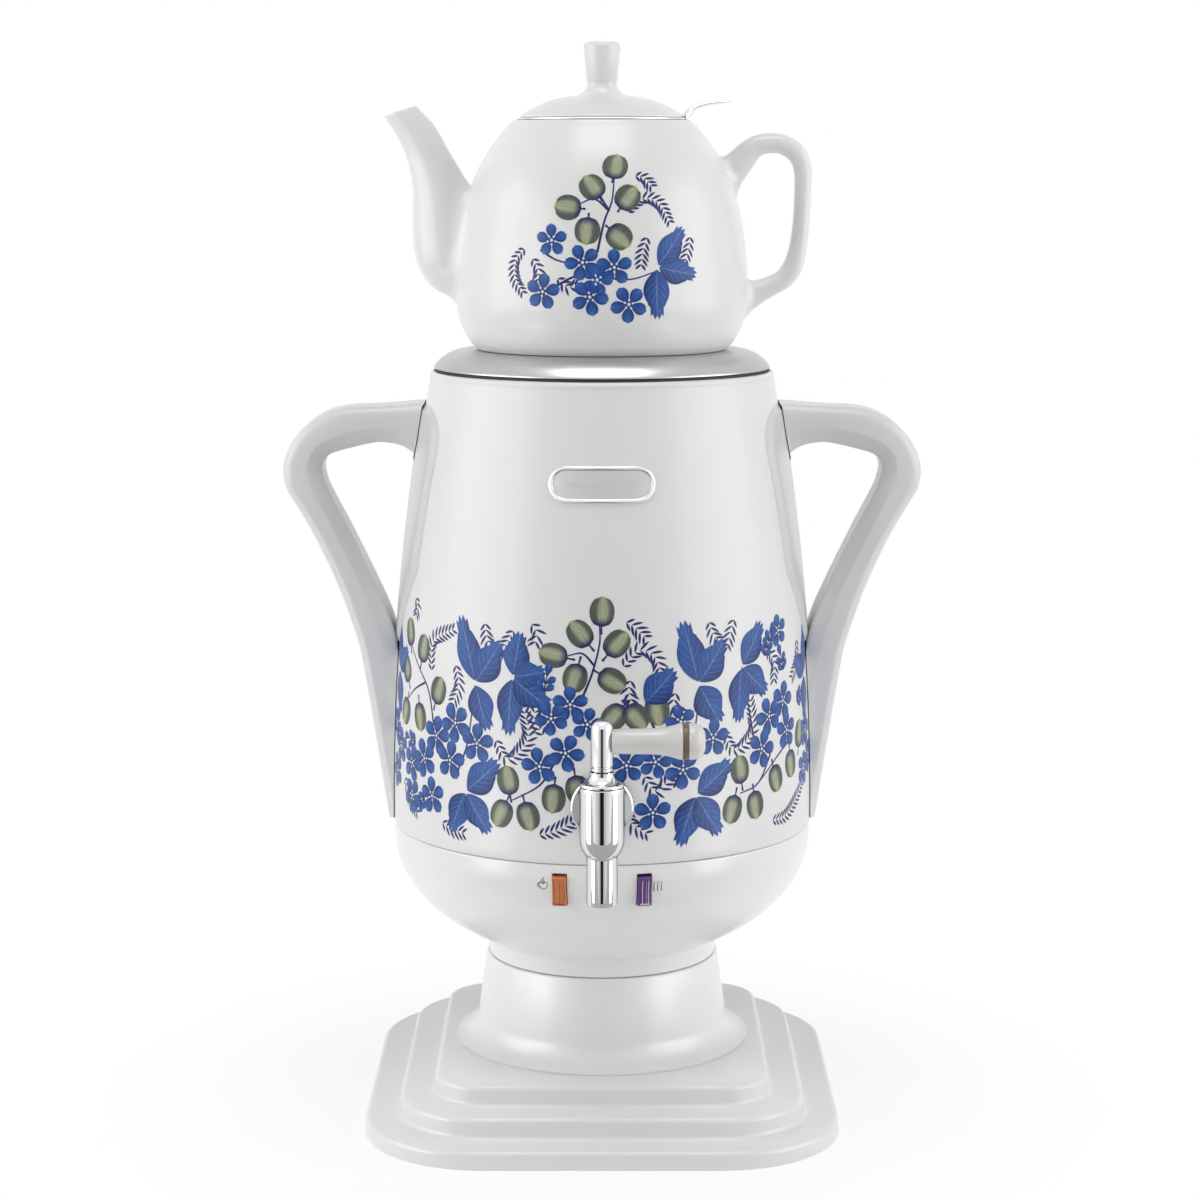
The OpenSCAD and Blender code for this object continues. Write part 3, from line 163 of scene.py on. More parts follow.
POT_Z = PLATE_SEAT_Z + 0.2
POT_H = 96.8
POT_TOP_Z = POT_Z + POT_H
POT_FOOT_R = 54.0
POT_BELLY_R = 62.7
POT_BELLY_Z = POT_Z + 0.22 * POT_H
POT_MOUTH_R = 37.9
POT_THROAT_R = 31.5
POT_WALL = 3.5
POT_HANDLE_HALF_T = 5.5
SPOUT_WALL = 2.4

STRAINER_Z = POT_TOP_Z + 0.2
STRAINER_R = 30.0
STRAINER_WALL = 0.6
STRAINER_FLANGE_R = 36.3
STRAINER_H = 44.0
LID_R = 34.9
LID_Z = STRAINER_Z + 1.0
KNOB_ROOT_Z = LID_Z + 9.1
KNOB_H = 22.6
KNOB_TOP_Z = KNOB_ROOT_Z + KNOB_H


def casing_radius(z):
    """The casing's outside: one large arc that leaves the base upright."""
    return CASING_BASE_R - CASING_ARC_R + np.sqrt(CASING_ARC_R ** 2 - (z - CASING_Z) ** 2)


TAP_Y = -(float(casing_radius(SHANK_Z)) + TAP_STANDOFF)

# ---- Curves ----


def arc(start, through, end, steps=8):
    """Points on the circle that runs from start through a middle point to end."""
    a, b, c = (np.array(p, float) for p in (start, through, end))
    d = 2 * (a[0] * (b[1] - c[1]) + b[0] * (c[1] - a[1]) + c[0] * (a[1] - b[1]))
    squares = [p @ p for p in (a, b, c)]
    centre = np.array([
        squares[0] * (b[1] - c[1]) + squares[1] * (c[1] - a[1]) + squares[2] * (a[1] - b[1]),
        squares[0] * (c[0] - b[0]) + squares[1] * (a[0] - c[0]) + squares[2] * (b[0] - a[0])]) / d
    first, mid, last = (math.atan2(*(p - centre)[::-1]) for p in (a, b, c))
    to_mid = (mid - first) % math.tau
    to_last = (last - first) % math.tau
    sweep = to_last if to_mid < to_last else to_last - math.tau
    turn = first + sweep * np.linspace(0, 1, steps + 1)
    radius = np.linalg.norm(a - centre)
    return [tuple(centre + radius * np.array([math.cos(t), math.sin(t)])) for t in turn]


def rounded(corners, steps=6):
    """A closed outline through (x, y) corners; a corner (x, y, r) is rounded to radius r."""
    outline = []
    for i, corner in enumerate(corners):
        point = np.array(corner[:2], float)
        if len(corner) == 2:
            outline.append(tuple(point))
            continue
        back = np.array(corners[i - 1][:2]) - point
        on = np.array(corners[(i + 1) % len(corners)][:2]) - point
        back_len, on_len = np.linalg.norm(back), np.linalg.norm(on)
        back, on = back / back_len, on / on_len
        half = math.acos(max(-1, min(1, back @ on))) / 2
        cut = min(corner[2] / math.tan(half), 0.48 * back_len, 0.48 * on_len)
        radius = cut * math.tan(half)
        bisector = unit(back + on)
        centre = point + bisector * radius / math.sin(half)
        outline += arc(point + back * cut, centre - bisector * radius, point + on * cut, steps)
    return outline


def smooth_run(stations, steps):
    """Rows of values that pass smoothly through the stations, with steps rows to each gap."""
    s = np.array(stations, float)
    padded = np.vstack([2 * s[0] - s[1], s, 2 * s[-1] - s[-2]])
    t = np.linspace(0, 1, steps, endpoint=False)[:, None]
    rows = [0.5 * (2 * b + (c - a) * t + (2 * a - 5 * b + 4 * c - d) * t ** 2
                   + (3 * b - a - 3 * c + d) * t ** 3)
            for a, b, c, d in zip(padded, padded[1:], padded[2:], padded[3:])]
    return np.vstack(rows + [s[-1:]])


def softened(points, passes):
    """A line of points with its slight corners eased, its ends kept."""
    line = np.array(points, float)
    for _ in range(passes):
        line[1:-1] = (line[:-2] + 2 * line[1:-1] + line[2:]) / 4
    return list(map(tuple, line))


def between(start, end, across, up):
    """The point at one share of the way across, and another of the way up, from start to end."""
    return start[0] + across * (end[0] - start[0]), start[1] + up * (end[1] - start[1])


def run_along(line):
    """The length of a line of points up to each of them."""
    return np.concatenate([[0], np.cumsum(np.linalg.norm(np.diff(line, axis=0), axis=1))])


def smoothstep(x):
    x = np.clip(x, 0, 1)
    return x * x * (3 - 2 * x)


def unit(vectors):
    return vectors / np.linalg.norm(vectors, axis=-1, keepdims=True)


def heading(angle):
    """The flat unit vector at an angle in degrees."""
    return np.array([math.cos(math.radians(angle)), math.sin(math.radians(angle))])


def around(count):
    """Angles of count even steps round a full turn."""
    return np.linspace(0, math.tau, count, endpoint=False)


def boxed(wave, power):
    """A sine or cosine made squarer; the lower the power, the flatter the side."""
    return np.sign(wave) * np.abs(wave) ** power

# ---- Pieces ----


def piece(name, body, slot, finish, vertices, faces, replaces=(), crease=32, weld=True):
    """A shown piece in millimetres, which rides on a body and takes the given finish."""
    mesh = bpy.data.meshes.new(name)
    mesh.from_pydata((np.asarray(vertices) * MM).tolist(), [], faces)
    if weld:
        model = bmesh.new()
        model.from_mesh(mesh)
        bmesh.ops.remove_doubles(model, verts=model.verts, dist=1e-7)
        bmesh.ops.dissolve_degenerate(model, edges=model.edges, dist=1e-7)
        bmesh.ops.recalc_face_normals(model, faces=model.faces)
        model.to_mesh(mesh)
        model.free()
    mesh.shade_smooth()
    mesh.set_sharp_from_angle(angle=math.radians(crease))
    mesh.materials.append(finish)
    thing = bpy.data.objects.new(name, mesh)
    bpy.context.collection.objects.link(thing)
    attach(thing, body)
    if replaces:
        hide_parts(*replaces)
    return thing


def quads(rows, columns, close_rows=False, close_columns=False):
    """Faces of a grid of points that is listed row by row."""
    last_row = rows if close_rows else rows - 1
    last_column = columns if close_columns else columns - 1
    return [(r * columns + c, r * columns + (c + 1) % columns,
             (r + 1) % rows * columns + (c + 1) % columns, (r + 1) % rows * columns + c)
            for r in range(last_row) for c in range(last_column)]


def grid_rim(rows, columns):
    """The numbers of a grid's outermost points, in order round it."""
    last = rows * columns - 1
    return (list(range(columns)) + [r * columns + columns - 1 for r in range(1, rows)]
            + [last - c for c in range(1, columns)] + [r * columns for r in range(rows - 2, 0, -1)])


def edge_faces(rim, behind):
    """Faces between a closed row of points and the same row behind it, whose numbers are higher by behind."""
    return [(b, a, behind + a, behind + b) for a, b in zip(rim, [*rim[1:], rim[0]])]


def slab(rows, columns):
    """Faces of a sheet with two sides: one grid of points, and the same grid again behind it."""
    behind = rows * columns
    grid = quads(rows, columns)
    back = [tuple(behind + i for i in f[::-1]) for f in grid]
    return grid + back + edge_faces(grid_rim(rows, columns), behind)


def placed(points, matrix):
    """Points moved by a 4 by 4 matrix."""
    matrix = np.array(matrix)
    return np.asarray(points) @ matrix[:3, :3].T + matrix[:3, 3]


def looped(name, body, slot, finish, rings, **more):
    """A solid through rings of points whose last ring meets its first."""
    rings = np.asarray(rings)
    faces = quads(*rings.shape[:2], True, True)
    return piece(name, body, slot, finish, rings.reshape(-1, 3), faces, **more)


def swept(line, turns):
    """Points of a (radius, height) line turned about +Z: for each of them, a row with one to each angle."""
    line = np.array(line, float)
    return np.stack([np.outer(line[:, 0], np.cos(turns)), np.outer(line[:, 0], np.sin(turns)),
                     np.repeat(line[:, 1:], len(turns), axis=1)], axis=-1)


def turned(name, body, slot, finish, profile, place=None, steps=160, **more):
    """A solid turned on +Z from a closed line of (radius, height) points."""
    rings = swept(profile, around(steps))
    if place is not None:
        rings = placed(rings, place)
    return looped(name, body, slot, finish, rings, **more)


def disc(name, body, slot, finish, inner_r, outer_r, low, high, place=None):
    """A flat ring, or a plain disc if inner_r is 0."""
    profile = [(inner_r, low), (outer_r, low), (outer_r, high), (inner_r, high)]
    return turned(name, body, slot, finish, profile, place)


def lofted(name, body, slot, finish, rings, **more):
    """A solid through rings of points, closed by a flat face at each end."""
    rings = np.asarray(rings)
    count, sides = rings.shape[:2]
    ends = [tuple(range(sides)), tuple(range((count - 1) * sides, count * sides))]
    faces = quads(count, sides, False, True) + ends
    return piece(name, body, slot, finish, rings.reshape(-1, 3), faces, **more)


SIDES = (("left", -1), ("right", 1))


def handed(points, side):
    """Points of the right side, or their mirror image on the left."""
    return np.asarray(points) * np.array([side, 1, 1])


# ---- Finishes ----


def srgb(red, green, blue):
    """An 8-bit colour as linear red, green, blue and alpha."""
    def linear(v):
        v /= 255
        return v / 12.92 if v <= 0.04045 else ((v + 0.055) / 1.055) ** 2.4
    return (linear(red), linear(green), linear(blue), 1)


def shade(colour, share):
    """A darker tone of a colour."""
    return tuple(share * c for c in colour[:3]) + (1,)


class Value:
    """A socket that takes part in ordinary arithmetic."""

    def __init__(self, finish, socket):
        self.finish = finish
        self.socket = socket

    def _math(self, operation, *values):
        return self.finish.node("ShaderNodeMath", {"operation": operation}, values)

    def __add__(self, other):
        return self._math("ADD", self, other)

    __radd__ = __add__

    def __sub__(self, other):
        return self._math("SUBTRACT", self, other)

    def __rsub__(self, other):
        return self._math("SUBTRACT", other, self)

    def __mul__(self, other):
        return self._math("MULTIPLY", self, other)

    __rmul__ = __mul__

    def __pow__(self, other):
        return self._math("POWER", self, other)

    def step(self, low, high):
        """0 below low, 1 above high, smooth between."""
        return self.finish.node("ShaderNodeMapRange", {"interpolation_type": "SMOOTHSTEP"},
                                {"Value": self, "From Min": low, "From Max": high})


class Nodes:
    """A node tree in the making."""

    def __init__(self, tree):
        self.tree = tree

    def node(self, kind, settings=None, inputs=(), output=0):
        made = self.tree.nodes.new(kind)
        for key, value in (settings or {}).items():
            if key == "stops":
                self._set_stops(made.color_ramp, value)
            else:
                setattr(made, key, value)
        pairs = inputs.items() if isinstance(inputs, dict) else enumerate(inputs)
        for key, value in pairs:
            self._fill(made.inputs[key], value)
        return Value(self, made.outputs[output])

    @staticmethod
    def _set_stops(ramp, stops):
        while len(ramp.elements) < len(stops):
            ramp.elements.new(0.5)
        for element, (position, colour) in zip(ramp.elements, stops):
            element.position = position
            element.color = colour

    def _fill(self, socket, value):
        if isinstance(value, Value):
            self.tree.links.new(value.socket, socket)
        else:
            socket.default_value = value

    def parts(self, vector, count):
        """The first x, y or z values of a vector."""
        return [self.node("ShaderNodeSeparateXYZ", inputs=(vector,), output=i) for i in range(count)]

    def finish_with(self, output_name, shader):
        self.tree.links.new(shader.socket, self.tree.nodes[output_name].inputs["Surface"])

    def meets_backdrop(self):
        """1 for a ray that should meet plain white: from the camera, mirrored or through glass."""
        rays = ("Is Camera Ray", "Is Glossy Ray", "Is Transmission Ray")
        camera, mirrored, through = (self.node("ShaderNodeLightPath", output=ray) for ray in rays)
        return camera + mirrored + through


class Finish(Nodes):
    """A material in the making: one Principled shader and the nodes that vary it."""

    def __init__(self, name, colour, roughness, **sockets):
        self.material = bpy.data.materials.new(name)
        self.material.use_nodes = True
        super().__init__(self.material.node_tree)
        self.shader = self.tree.nodes["Principled BSDF"]
        self.material.diffuse_color = colour
        self.feed("Base Color", colour)
        self.feed("Roughness", roughness)
        for socket, value in sockets.items():
            self.feed(socket.replace("_", " "), value)

    def feed(self, socket, value):
        self._fill(self.shader.inputs[socket], value)

    def position(self):
        return self.node("ShaderNodeTexCoord", output="Object")

    def noise(self, scale, detail=2, vector=None):
        return self.node("ShaderNodeTexNoise", inputs={
            "Vector": vector or self.position(), "Scale": scale, "Detail": detail})

    def mix(self, share, first, second):
        """The first colour where share is 0, the second where it is 1."""
        made = self.tree.nodes.new("ShaderNodeMix")
        made.data_type = "RGBA"
        for key, value in ((0, share), (6, first), (7, second)):
            self._fill(made.inputs[key], value)
        return Value(self, made.outputs[2])

    def stretch(self, x, y, z):
        scale = (x, y, z)
        return self.node("ShaderNodeVectorMath", {"operation": "MULTIPLY"}, (self.position(), scale))

    def bump(self, height, distance):
        relief = {"Height": height, "Distance": distance, "Strength": 1.0}
        self.feed("Normal", self.node("ShaderNodeBump", inputs=relief))


def moulded(name, colour, roughness, grain=0.00002, **sockets):
    """Injection-moulded plastic: a fine grain and a slightly uneven sheen."""
    made = Finish(name, colour, roughness, **sockets)
    cloud = made.noise(14, 3)
    made.feed("Roughness", roughness + 0.06 * (cloud - 0.5))
    made.feed("Base Color", made.mix(cloud, colour, shade(colour, 0.965)))
    made.bump(made.noise(900, 2) + 0.5 * made.noise(160, 2), grain)
    return made.material


def glazed(name, colour, roughness, ripple, **sockets):
    """Glaze or enamel: a clear coat over a soft ground, with a faint orange peel."""
    made = Finish(name, colour, roughness, **sockets)
    made.feed("Coat Weight", 0.35 + 0.1 * made.noise(22, 2))
    made.feed("Base Color", made.mix(made.noise(9, 3), colour, shade(colour, 0.975)))
    made.bump(made.noise(120, 2), ripple)
    return made.material


def brushed_round(name, colour, roughness):
    """Metal spun on the upright axis: fine rings in its gloss and colour."""
    made = Finish(name, colour, roughness, Metallic=1)
    x, y, z = made.parts(made.position(), 3)
    reach = (x ** 2 + y ** 2) ** 0.5
    rings = made.node("ShaderNodeTexNoise", {"noise_dimensions": "1D"},
                      {"W": (reach + 0.7 * z) * 2600, "Scale": 1.0, "Detail": 3})
    made.feed("Roughness", roughness - 0.07 + 0.14 * rings)
    made.feed("Base Color", made.mix(rings, shade(colour, 0.86), colour))
    made.bump(rings, 0.000015)
    return made.material


def plain_metal(name, colour, roughness, scale=60):
    """Drawn or cast metal with a slightly clouded sheen."""
    made = Finish(name, colour, roughness, Metallic=1)
    cloud = made.noise(scale, 4)
    made.feed("Roughness", roughness + 0.12 * (cloud - 0.5))
    made.feed("Base Color", made.mix(cloud, shade(colour, 0.88), colour))
    made.bump(made.noise(700, 2), 0.00001)
    return made.material


def polished_chrome():
    """Plated brass: nearly a mirror, with faint wiping marks; its dark edge tint is painted shade that
    darkens the reflections at grazing angles.
    """
    dull, bright, edge = (0.76, 0.77, 0.78, 1), (0.83, 0.84, 0.85, 1), (0.4, 0.41, 0.43, 1)
    made = Finish("polished_chrome", (0.80, 0.81, 0.82, 1), 0.045, Metallic=1, Specular_Tint=edge)
    wiped = made.noise(30, 4, made.stretch(1, 1, 0.25))
    made.feed("Roughness", 0.03 + 0.04 * wiped)
    made.feed("Base Color", made.mix(made.noise(12), dull, bright))
    return made.material


def fired_clay(name, colour):
    made = Finish(name, colour, 0.8)
    speck = made.noise(400, 3)
    made.feed("Base Color", made.mix(speck, shade(colour, 0.8), colour))
    made.bump(speck, 0.00005)
    return made.material


ENAMEL = glazed("casing_enamel", srgb(238, 238, 238), 0.40, 0.000008, Coat_Roughness=0.27)
PORCELAIN = glazed("pot_porcelain", srgb(238, 238, 237), 0.36, 0.00002, Coat_Roughness=0.2)
BOWL_GLOSS = moulded("bowl_gloss", srgb(245, 245, 245), 0.3, 0.000004, Coat_Weight=0.6, Coat_Roughness=0.2)
PLINTH_SATIN = moulded("plinth_satin", srgb(239, 239, 240), 0.34, 0.000006, Coat_Weight=0.5,
                       Coat_Roughness=0.2)
PEDESTAL_SATIN = moulded("pedestal_satin", srgb(243, 243, 244), 0.32, 0.000004, Coat_Weight=1.0,
                         Coat_Roughness=0.36, Coat_IOR=1.6)
HANDLE_GREY = moulded("handle_grey", srgb(229, 230, 230), 0.36, 0.000012, Coat_Weight=0.3,
                      Coat_Roughness=0.25)
PAD_GREY = moulded("pad_grey", srgb(211, 212, 212), 0.34, 0.00001, Coat_Weight=0.3, Coat_Roughness=0.25)
# Painted shade: the dark colour of the copy that fills the gap between each handle and the casing.
PAINTED_GAP_SHADE = moulded("painted_gap_shade", srgb(70, 71, 73), 0.6)
RUBBER = moulded("black_rubber", srgb(34, 34, 35), 0.62, 0.00004)
BLACK_PLASTIC = moulded("black_plastic", srgb(38, 38, 40), 0.45, 0.00003)
LEVER_IVORY = moulded("lever_ivory", srgb(229, 227, 224), 0.26, 0.000004, Coat_Weight=0.4,
                      Coat_Roughness=0.12)
BAND_BRONZE = moulded("band_bronze", srgb(120, 99, 86), 0.3, 0.000006)
ROCKER_ORANGE = moulded("rocker_orange", srgb(205, 122, 74), 0.32, 0.000006)
ROCKER_VIOLET = moulded("rocker_violet", srgb(96, 56, 122), 0.3, 0.000006)
ROCKER_LINE = moulded("rocker_line", srgb(214, 200, 222), 0.35)
ROCKER_SHADE = moulded("rocker_shade", srgb(158, 82, 46), 0.35)
MARK_GREY = moulded("mark_grey", srgb(118, 120, 122), 0.4)
HOUSING_GREY = moulded("housing_grey", srgb(168, 168, 170), 0.5)
BADGE_SATIN = plain_metal("badge_satin", (0.56, 0.565, 0.57, 1), 0.42, 20)
BADGE_RIM = plain_metal("badge_rim", (0.80, 0.80, 0.81, 1), 0.25, 20)
CHROME = polished_chrome()
PLATE_STEEL = brushed_round("plate_steel", (0.53, 0.53, 0.54, 1), 0.31)
SPUN_STEEL = brushed_round("spun_steel", (0.66, 0.66, 0.67, 1), 0.24)
STRAINER_STEEL = plain_metal("strainer_steel", (0.86, 0.86, 0.86, 1), 0.3)
PLAIN_STEEL = plain_metal("plain_steel", (0.55, 0.55, 0.56, 1), 0.3, 200)
BRASS = plain_metal("turned_brass", (0.72, 0.55, 0.27, 1), 0.28, 200)
CAST_ALUMINIUM = plain_metal("cast_aluminium", (0.62, 0.62, 0.63, 1), 0.5, 300)
ELEMENT_SHEATH = plain_metal("element_sheath", (0.30, 0.27, 0.25, 1), 0.45, 100)
WHITE_PLASTIC = moulded("white_plastic", srgb(228, 227, 224), 0.4)
INSULATOR = fired_clay("insulator_clay", srgb(226, 220, 204))
WIRE_RED = moulded("wire_red", srgb(150, 34, 28), 0.42)

PRINT_MAP = "along_across"


def printed(name, lay):
    """An overglaze colour: lay returns the base colour from s along and t across each patch."""
    made = Finish(name, (0.5, 0.5, 0.5, 1), 0.34, Specular_IOR_Level=0.25, Coat_Weight=0.08,
                  Coat_Roughness=0.28)
    s, t = made.parts(made.node("ShaderNodeUVMap", {"uv_map": PRINT_MAP}), 2)
    made.feed("Base Color", lay(made, s, (t - 0.5) * 2))
    made.feed("Roughness", 0.31 + 0.06 * made.noise(200))
    return made.material


def dabbed(made, share, *colours):
    """Colours laid one over another along a share from 0 to 1."""
    stops = [(i / (len(colours) - 1), srgb(*c)) for i, c in enumerate(colours)]
    return made.node("ShaderNodeValToRGB", {"stops": stops}, (share,))


def streaks(made, s, t, fine):
    """Brush marks that run along a patch."""
    way = made.node("ShaderNodeCombineXYZ", inputs=(s * 1.5, t * fine, 0.0))
    near = made.node("ShaderNodeVectorMath", {"operation": "ADD"}, (way, made.stretch(90, 90, 90)))
    return made.noise(1.6, 3, near)


def petal_ink(made, s, t):
    tone = 0.62 * s + 0.6 * (streaks(made, s, t, 3.0) - 0.5) - 0.32 * t * t + 0.16
    return dabbed(made, tone, (20, 38, 98), (34, 72, 146), (54, 98, 172), (108, 148, 206))


def leaf_ink(made, s, t):
    side = made.node("ShaderNodeMath", {"operation": "ABSOLUTE"}, (t,))
    wave = made.node("ShaderNodeMath", {"operation": "SINE"}, ((s * 6 - side * 2.2) * math.tau,))
    vein = (wave * 0.5 + 0.5).step(0.86, 1.0) * (1 - side.step(0.5, 0.95)) * 0.22
    rib = 1 - side.step(0.02, 0.08)
    tone = 0.28 + 0.2 * t + 0.26 * s + 0.6 * (streaks(made, s, t, 2.0) - 0.5) - 0.2 * side * side
    ground = dabbed(made, tone, (22, 44, 104), (34, 76, 148), (52, 98, 172), (104, 144, 202))
    veined = made.mix(vein, ground, srgb(138, 166, 216))
    return made.mix(rib * 0.4, veined, srgb(140, 166, 214))


def olive_ink(made, s, t):
    band = 1 - ((t + 0.1) * (t + 0.1)).step(0.0, 0.5)
    mottle = 0.55 * (streaks(made, s, t, 5.0) - 0.5)
    ground = dabbed(made, band * 0.8 + mottle + 0.05, (78, 88, 84), (116, 124, 106), (186, 190, 160))
    return made.mix(1 - s.step(0.04, 0.36), ground, srgb(40, 44, 92))


def halo_ink(made, s, _t):
    return made.mix(s, srgb(230, 232, 222), srgb(212, 216, 170))


def stroke_ink(made, s, t):
    return dabbed(made, s + 0.4 * (t * t), (34, 34, 86), (62, 64, 128))


def heart_ink(made, s, _t):
    return dabbed(made, s, (196, 206, 232), (238, 240, 226))


# The colours of the print, each with the height at which it lies over the wall, in millimetres
PRINT_LAYERS = {
    "halo": (0.022, printed("print_halo", halo_ink)),
    "stroke": (0.05, printed("print_stroke", stroke_ink)),
    "olive": (0.075, printed("print_olive", olive_ink)),
    "leaf": (0.105, printed("print_leaf", leaf_ink)),
    "petal": (0.135, printed("print_petal", petal_ink)),
    "heart": (0.17, printed("print_heart", heart_ink))}

# The solids that keep their own shape only need a finish.
KEPT_NODES = (
    (BLACK_PLASTIC, "base_cover", "thermal_cutout", "power_inlet"),
    (RUBBER, "rubber_feet", "rim_gasket", "tap_washer", "tank_seal"),
    (PLAIN_STEEL, "cover_screws", "tie_rod", "tie_rod_nuts", "tie_rod_washers", "casing_screws",
     "handle_screws", "tap_nut"),
    (SPUN_STEEL, "water_tank"),
    (CAST_ALUMINIUM, "heater_plate"),
    (ELEMENT_SHEATH, "heating_element"),
    (INSULATOR, "thermostat", "terminal_block"),
    (WIRE_RED, "wiring"),
    (BRASS, "inlet_blades", "valve_plug"),
    (HOUSING_GREY, "switch_housing_left", "switch_housing_right"),
    (WHITE_PLASTIC, "tap_spacer", "valve_washer"))

for node_finish, *node_names in KEPT_NODES:
    for node_name in node_names:
        node_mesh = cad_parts[node_name].data
        node_mesh.materials.clear()
        node_mesh.materials.append(node_finish)

# ---- Plinth and pedestal ----


def plinth_ring(inset, z, per_corner=14):
    """One outline of the plinth, inset from its rim; all its corners turn on the same four centres."""
    radius = PLINTH_CORNER - inset
    centre = PLINTH_HALF - PLINTH_CORNER
    ring = []
    for corner, (sx, sy) in enumerate(((1, 1), (-1, 1), (-1, -1), (1, -1))):
        for turn in np.linspace(0, math.pi / 2, per_corner) + corner * math.pi / 2:
            ring.append((sx * centre[0] + radius * math.cos(turn),
                         sy * centre[1] + radius * math.sin(turn), z))
    return ring


def make_plinth():
    """Three steps with soft edges; the underside follows them, so that the shell is open below."""
    hole = PLINTH_CORNER - 8
    edge_r, root_r = 2.6, 2.2
    outside = [(PLINTH_WALL, 0, 0.6), (0, 0, 1.2)]
    for i, top in enumerate(STEP_TOPS):
        edge = i * TREAD
        outside.append((edge + 0.35, top, edge_r))
        if i + 1 < len(STEP_TOPS):
            outside.append((edge + TREAD, top + 0.25, root_r))
    outside.append((hole, STEP_TOPS[-1]))
    inside = [(hole, STEP_TOPS[-1] - PLINTH_WALL)]
    for i in reversed(range(len(STEP_TOPS))):
        inside.append((i * TREAD + PLINTH_WALL, STEP_TOPS[i] - PLINTH_WALL))
        if i:
            inside.append((i * TREAD + PLINTH_WALL, STEP_TOPS[i - 1] - PLINTH_WALL))
    profile = rounded(outside + inside, 7)
    shut = next(i for i, p in enumerate(profile) if p == inside[0])
    line = profile[shut:] + profile[:shut]
    rings = [plinth_ring(inset, z) for inset, z in line]
    lofted("plinth_shell", "base", "plinth", PLINTH_SATIN, rings, replaces=("plinth",), crease=50)


def make_pedestal():
    """A short column that flares out to the plinth."""
    flare_top = STEP_TOPS[-1] + 0.9 + PEDESTAL_FLARE
    foot_r = PEDESTAL_WAIST + PEDESTAL_FLARE
    hole_r = 36
    low = STEP_TOPS[-1] + 0.05
    waist = (PEDESTAL_WAIST, flare_top + 1.5)
    flare = arc((foot_r, low + 0.8), (PEDESTAL_WAIST + 3.0, flare_top - 7.2), waist, 14)
    neck = rounded([waist, (PEDESTAL_TOP_R, PEDESTAL_TOP, 1.1), (hole_r, PEDESTAL_TOP),
                    (hole_r, PEDESTAL_TOP - 3), (PEDESTAL_TOP_R - PEDESTAL_WALL, PEDESTAL_TOP - 5),
                    (PEDESTAL_WAIST - PEDESTAL_WALL, flare_top), (PEDESTAL_WAIST - PEDESTAL_WALL, low),
                    (foot_r - 0.3, low)])
    turned("pedestal_cone", "base", "pedestal", PEDESTAL_SATIN, flare + neck,
           replaces=("pedestal",), crease=50)


make_plinth()
make_pedestal()

# ---- Bowl, casing and badge ----


def shell_with_windows(name, slot, finish, outer, inner, angles, windows, **more):
    """A turned wall between two lines of equal length; windows are (first angle, last, low z, high z)."""
    turns = np.array(sorted(angles))
    rows, columns = len(outer), len(turns)
    points = swept(outer + inner, turns).reshape(-1, 3)
    heights = np.array([z for _, z in outer])
    row_z = (heights[:-1] + heights[1:])[:, None] / 2
    cell_turn = (turns + np.append(turns[1:], turns[0] + math.tau))[None] / 2
    solid = np.ones((rows - 1, columns), bool)
    for first, last, low, high in windows:
        solid &= ~((low < row_z) & (row_z < high) & (first < cell_turn) & (cell_turn < last))

    def at(r, c, inside):
        return (inside * rows + r) * columns + c % columns

    def is_open(r, c):
        return not (0 <= r < rows - 1 and solid[r, c % columns])

    faces = []
    for r, c in np.argwhere(solid).tolist():
        for inside in (0, 1):
            faces.append((at(r, c, inside), at(r, c + 1, inside), at(r + 1, c + 1, inside),
                          at(r + 1, c, inside)))
        edges = ((is_open(r - 1, c), (r, c), (r, c + 1)), (is_open(r + 1, c), (r + 1, c), (r + 1, c + 1)),
                 (is_open(r, c - 1), (r, c), (r + 1, c)), (is_open(r, c + 1), (r, c + 1), (r + 1, c + 1)))
        for open_edge, p, q in edges:
            if open_edge:
                faces.append((at(*p, 0), at(*q, 0), at(*q, 1), at(*p, 1)))
    return piece(name, "base", slot, finish, points, faces, **more)


def bowl_radius(z):
    """The bowl's outside: an ellipse up to its widest place and straight above it."""
    fall = np.clip((BOWL_WIDE_Z - np.minimum(z, BOWL_WIDE_Z)) / BOWL_DROP, 0, 1)
    return BOWL_R * np.sqrt(1 - fall ** 2)


